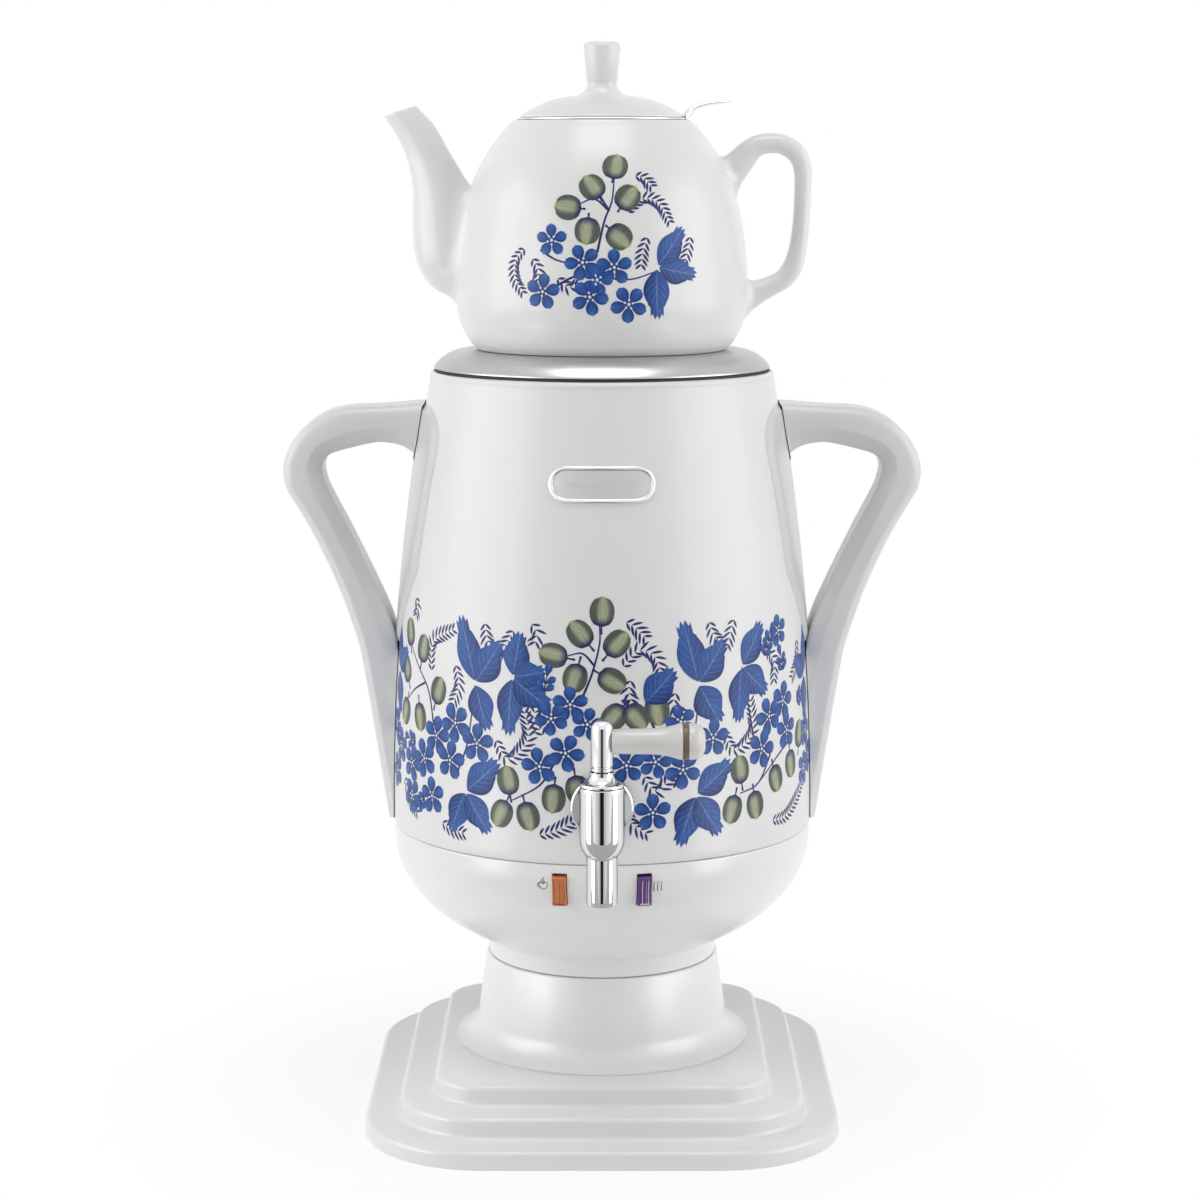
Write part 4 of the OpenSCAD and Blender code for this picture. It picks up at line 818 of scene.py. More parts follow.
def make_bowl():
    """The bowl's wall with windows for the two switches and the inlet, its floor and its flange."""
    slot_edges = (SWITCH_Z - SLOT_HALF_H, SWITCH_Z + SLOT_HALF_H)
    inlet_edges = (INLET_Z - INLET_HALF[1], INLET_Z + INLET_HALF[1])
    heights = sorted([*np.linspace(BOWL_COLLAR_Z + 2.5, BOWL_TOP_Z - 0.5, 44), *slot_edges, *inlet_edges])
    flare_z = BOWL_COLLAR_Z + 2.2
    collar = arc((BOWL_COLLAR_R, BOWL_COLLAR_Z - 1.6), (BOWL_COLLAR_R + 0.6, BOWL_COLLAR_Z + 0.6),
                 (bowl_radius(flare_z), flare_z), 5)
    outer = [(BOWL_COLLAR_R - 0.5, BOWL_Z), (BOWL_COLLAR_R - 0.12, BOWL_Z + 0.15),
             (BOWL_COLLAR_R, BOWL_Z + 0.6)]
    outer += collar + [(bowl_radius(z), z) for z in heights]
    outer += [(BOWL_R - 0.1, BOWL_TOP_Z - 0.15), (BOWL_R - 0.45, BOWL_TOP_Z)]
    inner = [(max(r - BOWL_WALL, 30), min(z + (BOWL_WALL if z < BOWL_Z + 3 else 0), BOWL_TOP_Z))
             for r, z in outer]
    slot_turn = math.asin(SLOT_HALF_W / BOWL_R)
    inlet_turn = math.asin(INLET_HALF[0] / INLET_WALL_R)
    front, back = 1.5 * math.pi, 0.5 * math.pi
    windows = [(back - inlet_turn, back + inlet_turn, *inlet_edges)]
    for _, side in SIDES:
        middle = front + side * math.radians(SWITCH_ANGLE)
        windows.append((middle - slot_turn, middle + slot_turn, *slot_edges))
    angles = [*around(180), *(edge for window in windows for edge in window[:2])]
    shell_with_windows("bowl_wall", "bowl", BOWL_GLOSS, outer, inner, angles, windows, replaces=("bowl",))
    disc("bowl_floor", "base", "bowl", BOWL_GLOSS, 4, BOWL_COLLAR_R - 1, BOWL_Z + 0.02, BOWL_Z + 2.8)
    disc("bowl_flange", "base", "bowl", BOWL_GLOSS, 79, BOWL_R - 1.2, BOWL_TOP_Z - 2.6, BOWL_TOP_Z - 0.05)


def make_inlet_frame():
    """A rounded rectangular frame round the inlet, facing +Y."""
    def outline(half, grow, radius, y):
        x, h = half[0] + grow, half[1] + grow
        flat = rounded([(x, h, radius), (-x, h, radius), (-x, -h, radius), (x, -h, radius)], 6)
        return [(px, y, INLET_Z + pz) for px, pz in flat]

    outer_half, corner, back_y = (18, 13.5), 2.4, 79
    looped("inlet_frame", "base", "bowl", BOWL_GLOSS, [
        outline(outer_half, 0, corner, back_y), outline(outer_half, 0, corner, INLET_FACE_Y - 0.6),
        outline(outer_half, -0.6, corner, INLET_FACE_Y), outline(INLET_HALF, 0.3, corner - 1, INLET_FACE_Y),
        outline(INLET_HALF, 0, corner - 1, INLET_FACE_Y - 0.3), outline(INLET_HALF, 0, corner - 1, back_y)])


def wall_line(radius_at, low, high, count):
    """Points (radius, height) up a wall whose radius follows from the height."""
    return [(radius_at(z), z) for z in np.linspace(low, high, count)]


def make_casing():
    """The enamelled skin, a rolled lip at its top, and the flange that stands on the bowl."""
    outer = wall_line(casing_radius, CASING_Z + 0.5, CASING_TOP_Z - 1.8, 60)
    lip_r = outer[-1][0]
    lip = arc((lip_r, CASING_TOP_Z - 1.6), (lip_r - 0.4, CASING_TOP_Z + 0.45),
              (lip_r - 1.3, CASING_TOP_Z + 0.85), 6)
    inner = [(lip_r - 1.55, CASING_TOP_Z + 0.3), (lip_r - 3.5, CASING_TOP_Z - 0.1)]
    inner += [(r - CASING_WALL, z) for r, z in wall_line(casing_radius, CASING_TOP_Z - 4, CASING_Z, 20)]
    foot = [(CASING_BASE_R - 0.5, CASING_Z), (CASING_BASE_R - 0.12, CASING_Z + 0.12)]
    turned("casing_skin", "base", "casing", ENAMEL, outer + lip + inner + foot,
           replaces=("casing",), steps=200)
    disc("casing_flange", "base", "casing", ENAMEL, 77, CASING_BASE_R - 1, CASING_Z + 0.05, CASING_Z + 2.6)


def stadium(width, height, steps=14):
    """The outline of a slot-shaped plate, anticlockwise from its lower right."""
    reach = (width - height) / 2
    turns = np.linspace(-math.pi / 2, math.pi / 2, steps)
    half = [(reach + height / 2 * math.cos(t), height / 2 * math.sin(t)) for t in turns]
    half += [(x, height / 2) for x in np.linspace(reach, -reach, steps)[1:-1]]
    return half + [(-x, -y) for x, y in half]


def on_casing(outline, lift, z):
    """Points (x, height) laid on the casing's front, lifted off it."""
    bent = []
    for x, h in outline:
        radius = casing_radius(z + h) + lift
        bent.append((x, -math.sqrt(radius ** 2 - x ** 2), z + h))
    return bent


def make_badge():
    """A raised rim round a satin field; each ring is (inset from the edge, lift off the casing)."""
    def ring(inset, lift):
        return on_casing(stadium(BADGE_W - 2 * inset, BADGE_H - 2 * inset), lift, BADGE_Z)

    rim = [ring(*step) for step in ((0, 0.1), (0, 0.65), (0.25, 0.88), (0.75, 0.9), (BADGE_RIM_W - 0.3, 0.84),
                                    (BADGE_RIM_W, 0.45), (BADGE_RIM_W, 0.1))]
    looped("badge_rim", "base", "badge", BADGE_RIM, rim, replaces=("badge",), crease=60)
    field = [ring(BADGE_RIM_W, 0.1)]
    field += [ring(BADGE_RIM_W + shrink, 0.48) for shrink in (0.0, 1.2, 2.6, 4.0, 5.2)]
    lofted("badge_field", "base", "badge", BADGE_SATIN, field, crease=60)


make_bowl()
make_inlet_frame()
make_casing()
make_badge()

# ---- Side handles and their pads ----


def handle_point(u, v):
    """A place on the handle: share of its reach past the casing's base, share of the casing's height."""
    return CASING_BASE_R + u * HANDLE_REACH, CASING_Z + v * CASING_H


# Outer edge and inner edge of the handle from its root at the top, round the bend, down to its foot
HANDLE_STATIONS = (
    ((-0.35, 0.936), (-0.30, 0.808)),
    ((-0.25, 0.935), (-0.22, 0.826)),
    ((-0.10, 0.932), (-0.10, 0.842)),
    ((0.15, 0.928), (0.08, 0.8485)),
    ((0.36, 0.9265), (0.22, 0.844)),
    ((0.55, 0.918), (0.36, 0.836)),
    ((0.708, 0.900), (0.48, 0.829)),
    ((0.82, 0.878), (0.56, 0.822)),
    ((0.911, 0.852), (0.615, 0.810)),
    ((0.977, 0.822), (0.635, 0.796)),
    ((1.008, 0.792), (0.634, 0.782)),
    ((1.004, 0.768), (0.618, 0.767)),
    ((0.975, 0.743), (0.595, 0.751)),
    ((0.90, 0.7137), (0.52, 0.715)),
    ((0.772, 0.663), (0.42, 0.671)),
    ((0.655, 0.610), (0.325, 0.626)),
    ((0.549, 0.556), (0.233, 0.582)),
    ((0.455, 0.501), (0.145, 0.536)),
    ((0.372, 0.445), (0.06, 0.491)),
    ((0.30, 0.389), (-0.02, 0.440)),
    ((0.24, 0.310), (-0.12, 0.350)),
    ((0.18, 0.223), (-0.20, 0.250)),
    ((0.12, 0.134), (-0.22, 0.145)),
    ((0.055, 0.035), (-0.22, 0.036)),
    ((0.035, 0.009), (-0.22, 0.009)),
)


def skin_reach(y, z, lift):
    """How far out in x a point at depth y and height z must lie to clear the casing by lift."""
    radius = casing_radius(z) + lift
    return np.sqrt(np.maximum(radius ** 2 - y ** 2, 0))


def pad_half_width(z):
    """Half width of the pad behind the handle: wide at the top, as narrow as the handle below."""
    w = PAD_HALF_W
    heights = [PAD_END_Z, PAD_END_Z + 0.87 * w, PAD_TOP_Z - 0.42 * w]
    return np.interp(z, heights, [HANDLE_HALF_DEPTH, 0.92 * w, w])


def pad_lift(z):
    """The pad's thickness under the handle's middle; it fades out at the pad's lower end."""
    return PAD_T * smoothstep((z - PAD_END_Z) / 6) * smoothstep((PAD_TOP_Z + 1 - z) / 3)


def handle_section(width, share, shrink=0.0):
    """Half outline of the handle across one station: (way in from the outer edge, depth)."""
    depth = HANDLE_HALF_DEPTH - shrink
    start = shrink
    round_out = 5.2 - 1.2 * share
    bevel = 4.2 * (1 - smoothstep((share - 0.62) / 0.2))
    ridge = 0.62 * width
    corners = [(start, 0), (start, depth, round_out), (ridge, depth, 2.0),
               (width - shrink, depth - bevel - 0.5, 1.6), (width - shrink, 0)]
    return rounded(corners, 6)


def handle_rings(shrink, gap):
    rows = smooth_run([outer + inner for outer, inner in HANDLE_STATIONS], 5)
    rings = []
    for i, (u0, v0, u1, v1) in enumerate(rows):
        outer = np.array(handle_point(u0, v0))
        inner = np.array(handle_point(u1, v1))
        way = inner - outer
        width = np.linalg.norm(way)
        half = handle_section(width, i / (len(rows) - 1), shrink)
        loop = [(a, -b) for a, b in half] + [(a, b) for a, b in half[::-1]]
        ring = []
        for along, depth in loop:
            x, z = outer + way / width * along
            x = max(x, float(skin_reach(depth, z, gap + pad_lift(z))))
            ring.append((x, depth, z))
        rings.append(ring)
    return np.array(rings)


def make_handles():
    """Each handle, and a shrunken dark copy behind it whose colour is painted shade: the thin dark line of
    the gap between it and the casing.
    """
    grip = handle_rings(0.0, 0.45)
    # A shrunken copy that reaches the casing, dark with painted shade for the gap.
    shaded_gap_rings = handle_rings(0.5, 0.02)
    for side, flip in SIDES:
        lofted("handle_grip_" + side, "base", "handle", HANDLE_GREY, handed(grip, flip),
               replaces=("handle_" + side,), crease=40)
        lofted("handle_joint_" + side, "base", "handle", PAINTED_GAP_SHADE, handed(shaded_gap_rings, flip), crease=40)


def pad_edge(z):
    """Half width with the top corners turned round."""
    w = pad_half_width(z)
    fall = PAD_TOP_Z - z
    corner = 0.42 * PAD_HALF_W
    round_off = np.where(fall < corner, 1 - np.sqrt(np.clip(1 - ((corner - fall) / corner) ** 2, 0, 1)), 0)
    return w - 0.55 * PAD_HALF_W * round_off


def make_pads():
    """The flat swellings of the casing that the handles spring from."""
    heights = np.concatenate([np.linspace(PAD_END_Z, PAD_TOP_Z - 3, 70),
                              np.linspace(PAD_TOP_Z - 2.8, PAD_TOP_Z, 12)])
    across = np.sin(np.linspace(-math.pi / 2, math.pi / 2, 61))
    front, back = [], []
    for z in heights:
        edge = float(pad_edge(z))
        y = across * edge
        to_edge = np.minimum(edge - np.abs(y), 1.4 * (PAD_TOP_Z - z))
        lift = 0.06 + (PAD_T - 0.06) * smoothstep(to_edge / 5.0)
        front.append(np.stack([skin_reach(y, z, lift), y, np.full_like(y, z)], axis=1))
        back.append(np.stack([skin_reach(y, z, -0.6), y, np.full_like(y, z)], axis=1))
    points = np.array(front + back).reshape(-1, 3)
    faces = slab(len(heights), len(across))
    for side, flip in SIDES:
        piece("handle_pad_face_" + side, "base", "handle_pad", PAD_GREY, handed(points, flip), faces,
              replaces=("handle_pad_" + side,), crease=60)


make_handles()
make_pads()

# ---- Tap ----


def at_tap(z=0.0):
    return Matrix.Translation((0, TAP_Y, z))


def tap_along_y(z):
    """Turns +Z of a profile to point from the tap back to the casing."""
    return Matrix.Translation((0, TAP_Y, z)) @ Matrix.Rotation(math.radians(-90), 4, "X")


def along_lever():
    return Matrix.Translation((0, TAP_Y, LEVER_Z)) @ Matrix.Rotation(math.radians(90), 4, "Y")


def make_tap_body():
    """The barrel with its bell and nozzle, and the shank that runs back through the casing's wall."""
    rim = [(0, TAP_BARREL_TOP), (TAP_R - 0.5, TAP_BARREL_TOP), (TAP_R - 0.15, TAP_BARREL_TOP - 0.12),
           (TAP_R, TAP_BARREL_TOP - 0.5)]
    bell = arc((TAP_R, TAP_BARREL_Z + 0.5), (TAP_R - 0.75, TAP_BARREL_Z - 3.4),
               (NOZZLE_R + 0.7, NOZZLE_TOP + 0.7), 12)
    bell += arc((NOZZLE_R + 0.5, NOZZLE_TOP + 0.4), (NOZZLE_R + 0.12, NOZZLE_TOP - 0.1),
                (NOZZLE_R, NOZZLE_TOP - 0.8), 4)
    mouth = rounded([(NOZZLE_R, NOZZLE_TOP - 1), (NOZZLE_R, NOZZLE_Z, 1.7), (NOZZLE_BORE, NOZZLE_Z, 0.5),
                     (NOZZLE_BORE, TAP_BARREL_Z + 1), (0, TAP_BARREL_Z + 1)])
    # Rings just clear of the rounded edges keep the reflections in the long walls straight.
    mouth.insert(1, (NOZZLE_R, NOZZLE_Z + 2.1))
    straight = [(TAP_R, TAP_BARREL_TOP - 1.2), (TAP_R, TAP_BARREL_Z + 1.2)]
    turned("tap_barrel", "base", "chrome", CHROME, rim + straight + bell + mouth, at_tap(),
           replaces=("tap_body",))
    wall = TAP_STANDOFF - 2.5
    shank_r, flange_r, flange_t = 7.4, 13, 2.2
    tail_r, tail_l = 5.8, 34
    shank = rounded([(0, 0), (shank_r, 0), (shank_r, wall - flange_t, 1.4), (flange_r, wall - flange_t, 1.6),
                     (flange_r, wall), (0, wall)])
    turned("tap_shank", "base", "chrome", CHROME, shank, tap_along_y(SHANK_Z))
    disc("tap_tail", "base", "chrome", PLAIN_STEEL, 0, tail_r, wall, wall + tail_l, tap_along_y(SHANK_Z))


def make_bonnet():
    """The cone that closes the barrel round the valve's stem."""
    z = TAP_BARREL_TOP + 0.1
    bore_r = 3.35
    cone = arc((TAP_R - 0.4, z + 1.5), (0.62 * TAP_R, z + 3.0), (HEAD_R + 0.4, BONNET_TOP), 8)
    profile = [(bore_r, z), (TAP_R - 0.5, z), (TAP_R - 0.05, z + 0.25), (TAP_R, z + 0.7),
               (TAP_R - 0.1, z + 1.15)]
    profile += cone + [(HEAD_R - 0.2, BONNET_TOP + 0.2), (bore_r, BONNET_TOP + 0.2)]
    turned("bonnet_cap", "base", "chrome", CHROME, profile, at_tap(), replaces=("tap_bonnet",))


def make_head():
    """The domed head, with a groove round its foot."""
    dome_z = HEAD_TOP - 0.75 * HEAD_R
    dome = arc((HEAD_R, dome_z), (0.75 * HEAD_R, dome_z + 0.55 * HEAD_R), (0.05, HEAD_TOP), 12)
    profile = [(0, HEAD_Z), (HEAD_R - 0.15, HEAD_Z), (HEAD_R, HEAD_Z + 0.15),
               (HEAD_R, HEAD_GROOVE_TOP - 0.7), (HEAD_R - 0.5, HEAD_GROOVE_TOP - 0.45),
               (HEAD_R - 0.5, HEAD_GROOVE_TOP), (HEAD_R, HEAD_GROOVE_TOP + 0.3)]
    turned("head_knob", "tap_valve", "chrome", CHROME, profile + dome + [(0, HEAD_TOP)], at_tap(),
           replaces=("valve_head",))


def make_lever():
    """The lever from its root at the head to its end: profiles of (way out, radius)."""
    waist = HEAD_R + 0.55 * (BAND_X - HEAD_R)
    swell = arc((waist, LEVER_ROOT_R + 0.2),
                between((waist, LEVER_ROOT_R), (BAND_X, LEVER_END_R), 0.6, 0.5),
                (BAND_X - 1.2, LEVER_END_R - 0.05), 12)
    grip = [(HEAD_R - 0.6, 0), (HEAD_R - 0.6, LEVER_ROOT_R - 0.5), (HEAD_R + 0.5, LEVER_ROOT_R - 0.05)]
    grip += swell + [(BAND_X - 0.3, LEVER_END_R), (BAND_X, LEVER_END_R - 0.25), (BAND_X, 0)]
    band = [(BAND_X + 0.05, 2.5), (BAND_X + 0.05, LEVER_END_R - 0.15), (BAND_X + 0.3, LEVER_END_R - 0.02),
            (BAND_X + BAND_W - 0.3, LEVER_END_R - 0.02), (BAND_X + BAND_W, LEVER_END_R - 0.15),
            (BAND_X + BAND_W, 2.5)]
    x = BAND_X + BAND_W + 0.05
    crown = arc((x + 1.6, LEVER_END_R), (x + 5.4, 0.74 * LEVER_END_R), (LEVER_L, 0.3 * LEVER_END_R), 10)
    cap = [(x, 0), (x, LEVER_END_R - 0.25), (x + 0.3, LEVER_END_R)] + crown + [(LEVER_L + 0.1, 0)]
    parts = (("lever_grip", "lever", LEVER_IVORY, grip, "lever_handle"),
             ("lever_ring", "lever_band", BAND_BRONZE, band, "lever_band"),
             ("lever_crown", "lever", LEVER_IVORY, cap, "lever_cap"))
    for name, slot, finish, profile, node in parts:
        turned(name, "tap_valve", slot, finish, [(radius, out) for out, radius in profile], along_lever(),
               replaces=(node,))


make_tap_body()
make_bonnet()
make_head()
make_lever()

# ---- Warming plate, teapot, strainer and lid ----


def make_warming_plate():
    """A spun dome with a flat seat and a steam opening, and the four lugs that centre it in the tank."""
    middle = between((PLATE_R, PLATE_Z + PLATE_T), (PLATE_SEAT_R, PLATE_SEAT_Z), 0.36, 0.66)
    slope = arc((PLATE_R - 0.1, PLATE_Z + 0.75), middle, (PLATE_SEAT_R, PLATE_SEAT_Z), 18)
    top = [(PLATE_R - 0.25, PLATE_Z), (PLATE_R, PLATE_Z + 0.2), (PLATE_R, PLATE_Z + 0.55)]
    top += softened(slope + [(40, PLATE_SEAT_Z), (STEAM_R + 1, PLATE_SEAT_Z)], 1)
    under = [(STEAM_R, PLATE_SEAT_Z - 0.2), (STEAM_R, PLATE_SEAT_Z - PLATE_T)]
    under += [(r - 0.7, z - PLATE_T) for r, z in slope[::-1][:-4]]
    ledge_r = PLATE_COLLAR_R - PLATE_T
    profile = top + under + [(ledge_r, PLATE_Z + PLATE_T), (ledge_r, PLATE_Z)]
    turned("plate_dome", "warming_plate", "warming_plate", PLATE_STEEL, profile,
           replaces=("warming_plate",), steps=200)
    section = rounded([(ledge_r, PLATE_Z + 0.4), (ledge_r, PLATE_Z - LUG_DROP, 0.3),
                       (PLATE_COLLAR_R, PLATE_Z - LUG_DROP, 0.3), (PLATE_COLLAR_R, PLATE_Z + 0.4)], 3)
    reach = math.asin(LUG_W / 2 / PLATE_COLLAR_R)
    for k in range(4):
        turns = k * math.pi / 2 + np.linspace(-reach, reach, 9)
        rings = swept(section, turns).swapaxes(0, 1)
        lofted(f"plate_lug_{k + 1}", "warming_plate", "warming_plate", PLATE_STEEL, rings, crease=50)


def pot_line():
    """The outside of the teapot from its foot to its mouth."""
    foot, belly, mouth = (POT_FOOT_R, POT_Z), (POT_BELLY_R, POT_BELLY_Z), (POT_MOUTH_R, POT_TOP_Z)
    shoulder = (POT_MOUTH_R + 0.78 * (POT_BELLY_R - POT_MOUTH_R), POT_Z + 0.68 * POT_H)
    low = arc(foot, between(foot, belly, 0.8, 0.56), belly, 16)
    side = arc((POT_BELLY_R, POT_BELLY_Z + 0.5), between(belly, shoulder, 0.33, 0.59), shoulder, 20)
    top = arc((shoulder[0] - 0.15, shoulder[1] + 0.5), between(shoulder, mouth, 0.34, 0.47), mouth, 18)
    return np.array(softened(low + side + top, 3))


POT_LINE = pot_line()


def pot_surface(points):
    """How far points lie outside the teapot's body, and the body's outward direction there."""
    x, y, z = np.moveaxis(points, -1, 0)
    reach = np.hypot(x, y)
    low, radius, high = (np.interp(z + step, POT_LINE[:, 1], POT_LINE[:, 0]) for step in (-0.5, 0, 0.5))
    slope = high - low
    length = np.sqrt(1 + slope ** 2)
    outward = np.stack([x / reach, y / reach, -slope], axis=-1) / length[..., None]
    return (reach - radius) / length, outward


def skirted(rings, fillet, depth):
    """Rings of a limb, flared where they leave the teapot's body, and kept from reaching into it."""
    rings = np.array(rings, float)
    away = unit(rings - rings.mean(axis=1, keepdims=True))
    clear, outward = pot_surface(rings)
    along = away - (away * outward).sum(-1, keepdims=True) * outward
    # The round starts a little way up its curve, because at its very foot it would lie flat on the wall.
    near = np.clip(clear + 0.09 * fillet, 0, fillet)
    flare = fillet - np.sqrt(fillet ** 2 - (fillet - near) ** 2)
    rings += flare[..., None] * along
    clear, outward = pot_surface(rings)
    sunk = np.minimum(clear + depth, 0)
    return rings - sunk[..., None] * outward


# Spout: reach from the axis, height over the pot's foot, tilt of the section, radius
SPOUT_STATIONS = (
    (53.5, 37.0, 66, 16.0), (60.5, 37.2, 52, 16.0), (65.2, 43.5, 30, 15.8), (67.0, 56.0, 10, 14.2),
    (69.5, 70.0, 8, 11.4), (74.2, 82.0, 18, 9.0), (78.9, 91.5, 25, 8.1), (85.6, 100.4, 17, 7.2))


def spout_rings(rows, thin, sides=72):
    """Round sections along the spout, with the radius made less by thin."""
    turn = around(sides)
    rings = []
    for reach, height, tilt, radius in rows:
        ahead, up = heading(tilt)
        u, v = (radius - thin) * np.cos(turn), (radius - thin) * np.sin(turn)
        rings.append(np.stack([-reach + u * ahead, v, POT_Z + height + u * up], axis=1))
    return np.array(rings)


def make_spout():
    """The spout, hollow from the pot's wall to its lip."""
    rows = smooth_run(SPOUT_STATIONS, 16)
    first_hollow_row = 19
    outside = skirted(spout_rings(rows, 0), 7.0, 1.2)
    tilt = math.radians(rows[-1][2])
    axis = np.array([-math.sin(tilt), 0, math.cos(tilt)])
    lip = [spout_rings(rows[-1:], thin)[0] + lift * axis
           for thin, lift in ((0.25, 0.35), (0.8, 0.5), (1.6, 0.3))]
    inside = spout_rings(rows[first_hollow_row:][::-1], SPOUT_WALL)
    lofted("pot_spout", "teapot", "porcelain", PORCELAIN, np.concatenate([outside, lip, inside]),
           replaces=("teapot_spout",), crease=60)


# Teapot handle: reach from the axis, height over the pot's foot, half width
POT_HANDLE_STATIONS = (
    (46, 64, 9.0), (50, 69, 7.5), (58.2, 78.8, 6.0), (65.4, 85.8, 4.6), (74.5, 87.2, 4.2), (81.8, 84, 4.2),
    (85.3, 77.8, 3.9), (85.8, 69, 3.6), (85.1, 53, 3.6), (83.5, 41, 3.9), (81.2, 34, 4.3), (77.6, 29.6, 4.2),
    (72.6, 26.8, 4.3), (66, 23.8, 5.2), (58, 19.5, 6.6), (52, 16.5, 7.5))


def make_pot_handle(sides=48):
    """The teapot's ear: boxed sections along a curve, broader where it leaves the pot."""
    rows = smooth_run(POT_HANDLE_STATIONS, 10)
    ahead = unit(np.gradient(rows[:, :2], axis=0))
    turn = around(sides)
    across, deep = boxed(np.cos(turn), 0.85), boxed(np.sin(turn), 0.85)
    rings = []
    for (reach, height, half), (dx, dz) in zip(rows, ahead):
        depth = POT_HANDLE_HALF_T + 0.25 * max(half - 4.5, 0)
        side = half * across
        rings.append(np.stack([reach - dz * side, depth * deep, POT_Z + height + dx * side], axis=1))
    lofted("pot_handle", "teapot", "porcelain", PORCELAIN, skirted(rings, 4.0, 1.2),
           replaces=("teapot_handle",), crease=60)


def make_pot_body():
    """The pot without its limbs: foot ring, wall, rim and the throat that holds the strainer."""
    foot = rounded([(0, POT_Z + 1.6), (POT_FOOT_R - 4, POT_Z + 1.6, 0.6), (POT_FOOT_R - 3.4, POT_Z, 0.8),
                    (POT_FOOT_R - 0.6, POT_Z, 0.8), (POT_FOOT_R + 1.0, POT_Z + 1.8)])[:-1]
    outside = [tuple(p) for p in POT_LINE if POT_Z + 1.5 < p[1] < POT_TOP_Z - 0.9]
    rim = arc((POT_MOUTH_R + 0.4, POT_TOP_Z - 0.6), (POT_MOUTH_R + 0.05, POT_TOP_Z - 0.12),
              (POT_MOUTH_R - 0.7, POT_TOP_Z), 5)
    throat = rounded([(POT_MOUTH_R - 1, POT_TOP_Z), (POT_THROAT_R, POT_TOP_Z, 0.8),
                      (POT_THROAT_R, POT_TOP_Z - 3, 1), (POT_THROAT_R + 3, POT_TOP_Z - 5)])[1:-1]
    inside = [(r - POT_WALL, z - 0.5) for r, z in POT_LINE[::-1]
              if POT_Z + 9 < z < POT_TOP_Z - 6 and r - POT_WALL > POT_THROAT_R]
    bottom = [(POT_FOOT_R - 3, POT_Z + 5.4), (0, POT_Z + 5.1)]
    turned("pot_body", "teapot", "porcelain", PORCELAIN, foot + outside + rim + throat + inside + bottom,
           replaces=("teapot",), steps=200)


def make_strainer():
    make_strainer_flange(STRAINER_Z)
    make_strainer_basket(STRAINER_Z - 1.5, STRAINER_Z - STRAINER_H)
    make_strainer_floor(STRAINER_Z - STRAINER_H)
    make_strainer_tab(STRAINER_Z)


def make_strainer_flange(z):
    inner_r = STRAINER_R - STRAINER_WALL
    flange = rounded([(STRAINER_R, z - 1.5), (STRAINER_R, z, 0.4), (STRAINER_FLANGE_R, z, 0.3),
                      (STRAINER_FLANGE_R, z + 0.8, 0.35), (inner_r, z + 0.8, 0.5), (inner_r, z - 1.5)], 4)
    turned("strainer_flange", "strainer", "strainer", STRAINER_STEEL, flange, replaces=("strainer",))


def make_strainer_basket(top, bottom):
    """A thin round wall with square holes in staggered rows."""
    rows, columns = 27, 120
    layer = rows * columns
    walls = [(radius, z) for radius in (STRAINER_R, STRAINER_R - STRAINER_WALL)
             for z in np.linspace(top, bottom, rows)]
    faces = []
    for k, face in enumerate(quads(rows, columns, False, True)):
        r, c = divmod(k, columns)
        if 2 < r < rows - 3 and r % 3 == 1 and (c + (r // 3) % 2 * 2) % 4 == 0:
            faces += edge_faces(face, layer)
        else:
            faces += [face, tuple(i + layer for i in face)]
    faces += edge_faces(range(columns), layer) + edge_faces(range(layer - columns, layer), layer)
    points = swept(walls, around(columns)).reshape(-1, 3)
    piece("strainer_basket", "strainer", "strainer", STRAINER_STEEL, points, faces)


def make_strainer_floor(z):
    """A pierced disc: a grid of cells, with every other one open in every other row."""
    cells = 26
    pitch = 2 * STRAINER_R / cells
    points, index, faces = [], {}, []

    def spot(i, j):
        return -STRAINER_R + i * pitch, -STRAINER_R + j * pitch

    def vertex(i, j, level):
        if (i, j, level) not in index:
            index[i, j, level] = len(points)
            points.append((*spot(i, j), z + STRAINER_WALL * level))
        return index[i, j, level]

    def inside(i, j):
        furthest = max(math.hypot(*spot(i + a, j + b)) for a in (0, 1) for b in (0, 1))
        return 0 <= i < cells and 0 <= j < cells and furthest < STRAINER_R - STRAINER_WALL

    def solid(i, j):
        clear_of_rim = all(inside(i + a, j + b) for a in (-1, 0, 1) for b in (-1, 0, 1))
        return inside(i, j) and not (i % 2 == 1 and j % 2 == 1 and clear_of_rim)

    for i in range(cells):
        for j in range(cells):
            if not solid(i, j):
                continue
            square = [(i, j), (i + 1, j), (i + 1, j + 1), (i, j + 1)]
            for level in (0, 1):
                faces.append(tuple(vertex(*p, level) for p in square))
            beyond = ((i, j - 1), (i + 1, j), (i, j + 1), (i - 1, j))
            for p, q, other in zip(square, square[1:] + square[:1], beyond):
                if not solid(*other):
                    faces.append((vertex(*p, 0), vertex(*q, 0), vertex(*q, 1), vertex(*p, 1)))
    piece("strainer_floor", "strainer", "strainer", STRAINER_STEEL, points, faces)
    disc("strainer_hem", "strainer", "strainer", STRAINER_STEEL, STRAINER_R - 3.2, STRAINER_R,
         z - 0.05, z + 0.65)


# Thumb tab: way out past the lid, height over the flange's foot, half thickness, half width
TAB_STATIONS = (
    (0.7, 0.4, 0.5, 9.5), (1.7, 2.6, 1.7, 8.8), (3.7, 4.9, 1.3, 8.2), (7.8, 6.4, 0.85, 7.8),
    (12.8, 7.3, 0.75, 7.4), (17.3, 7.75, 0.7, 6.4), (19.3, 7.85, 0.6, 4.6), (20.2, 7.9, 0.35, 2.4))


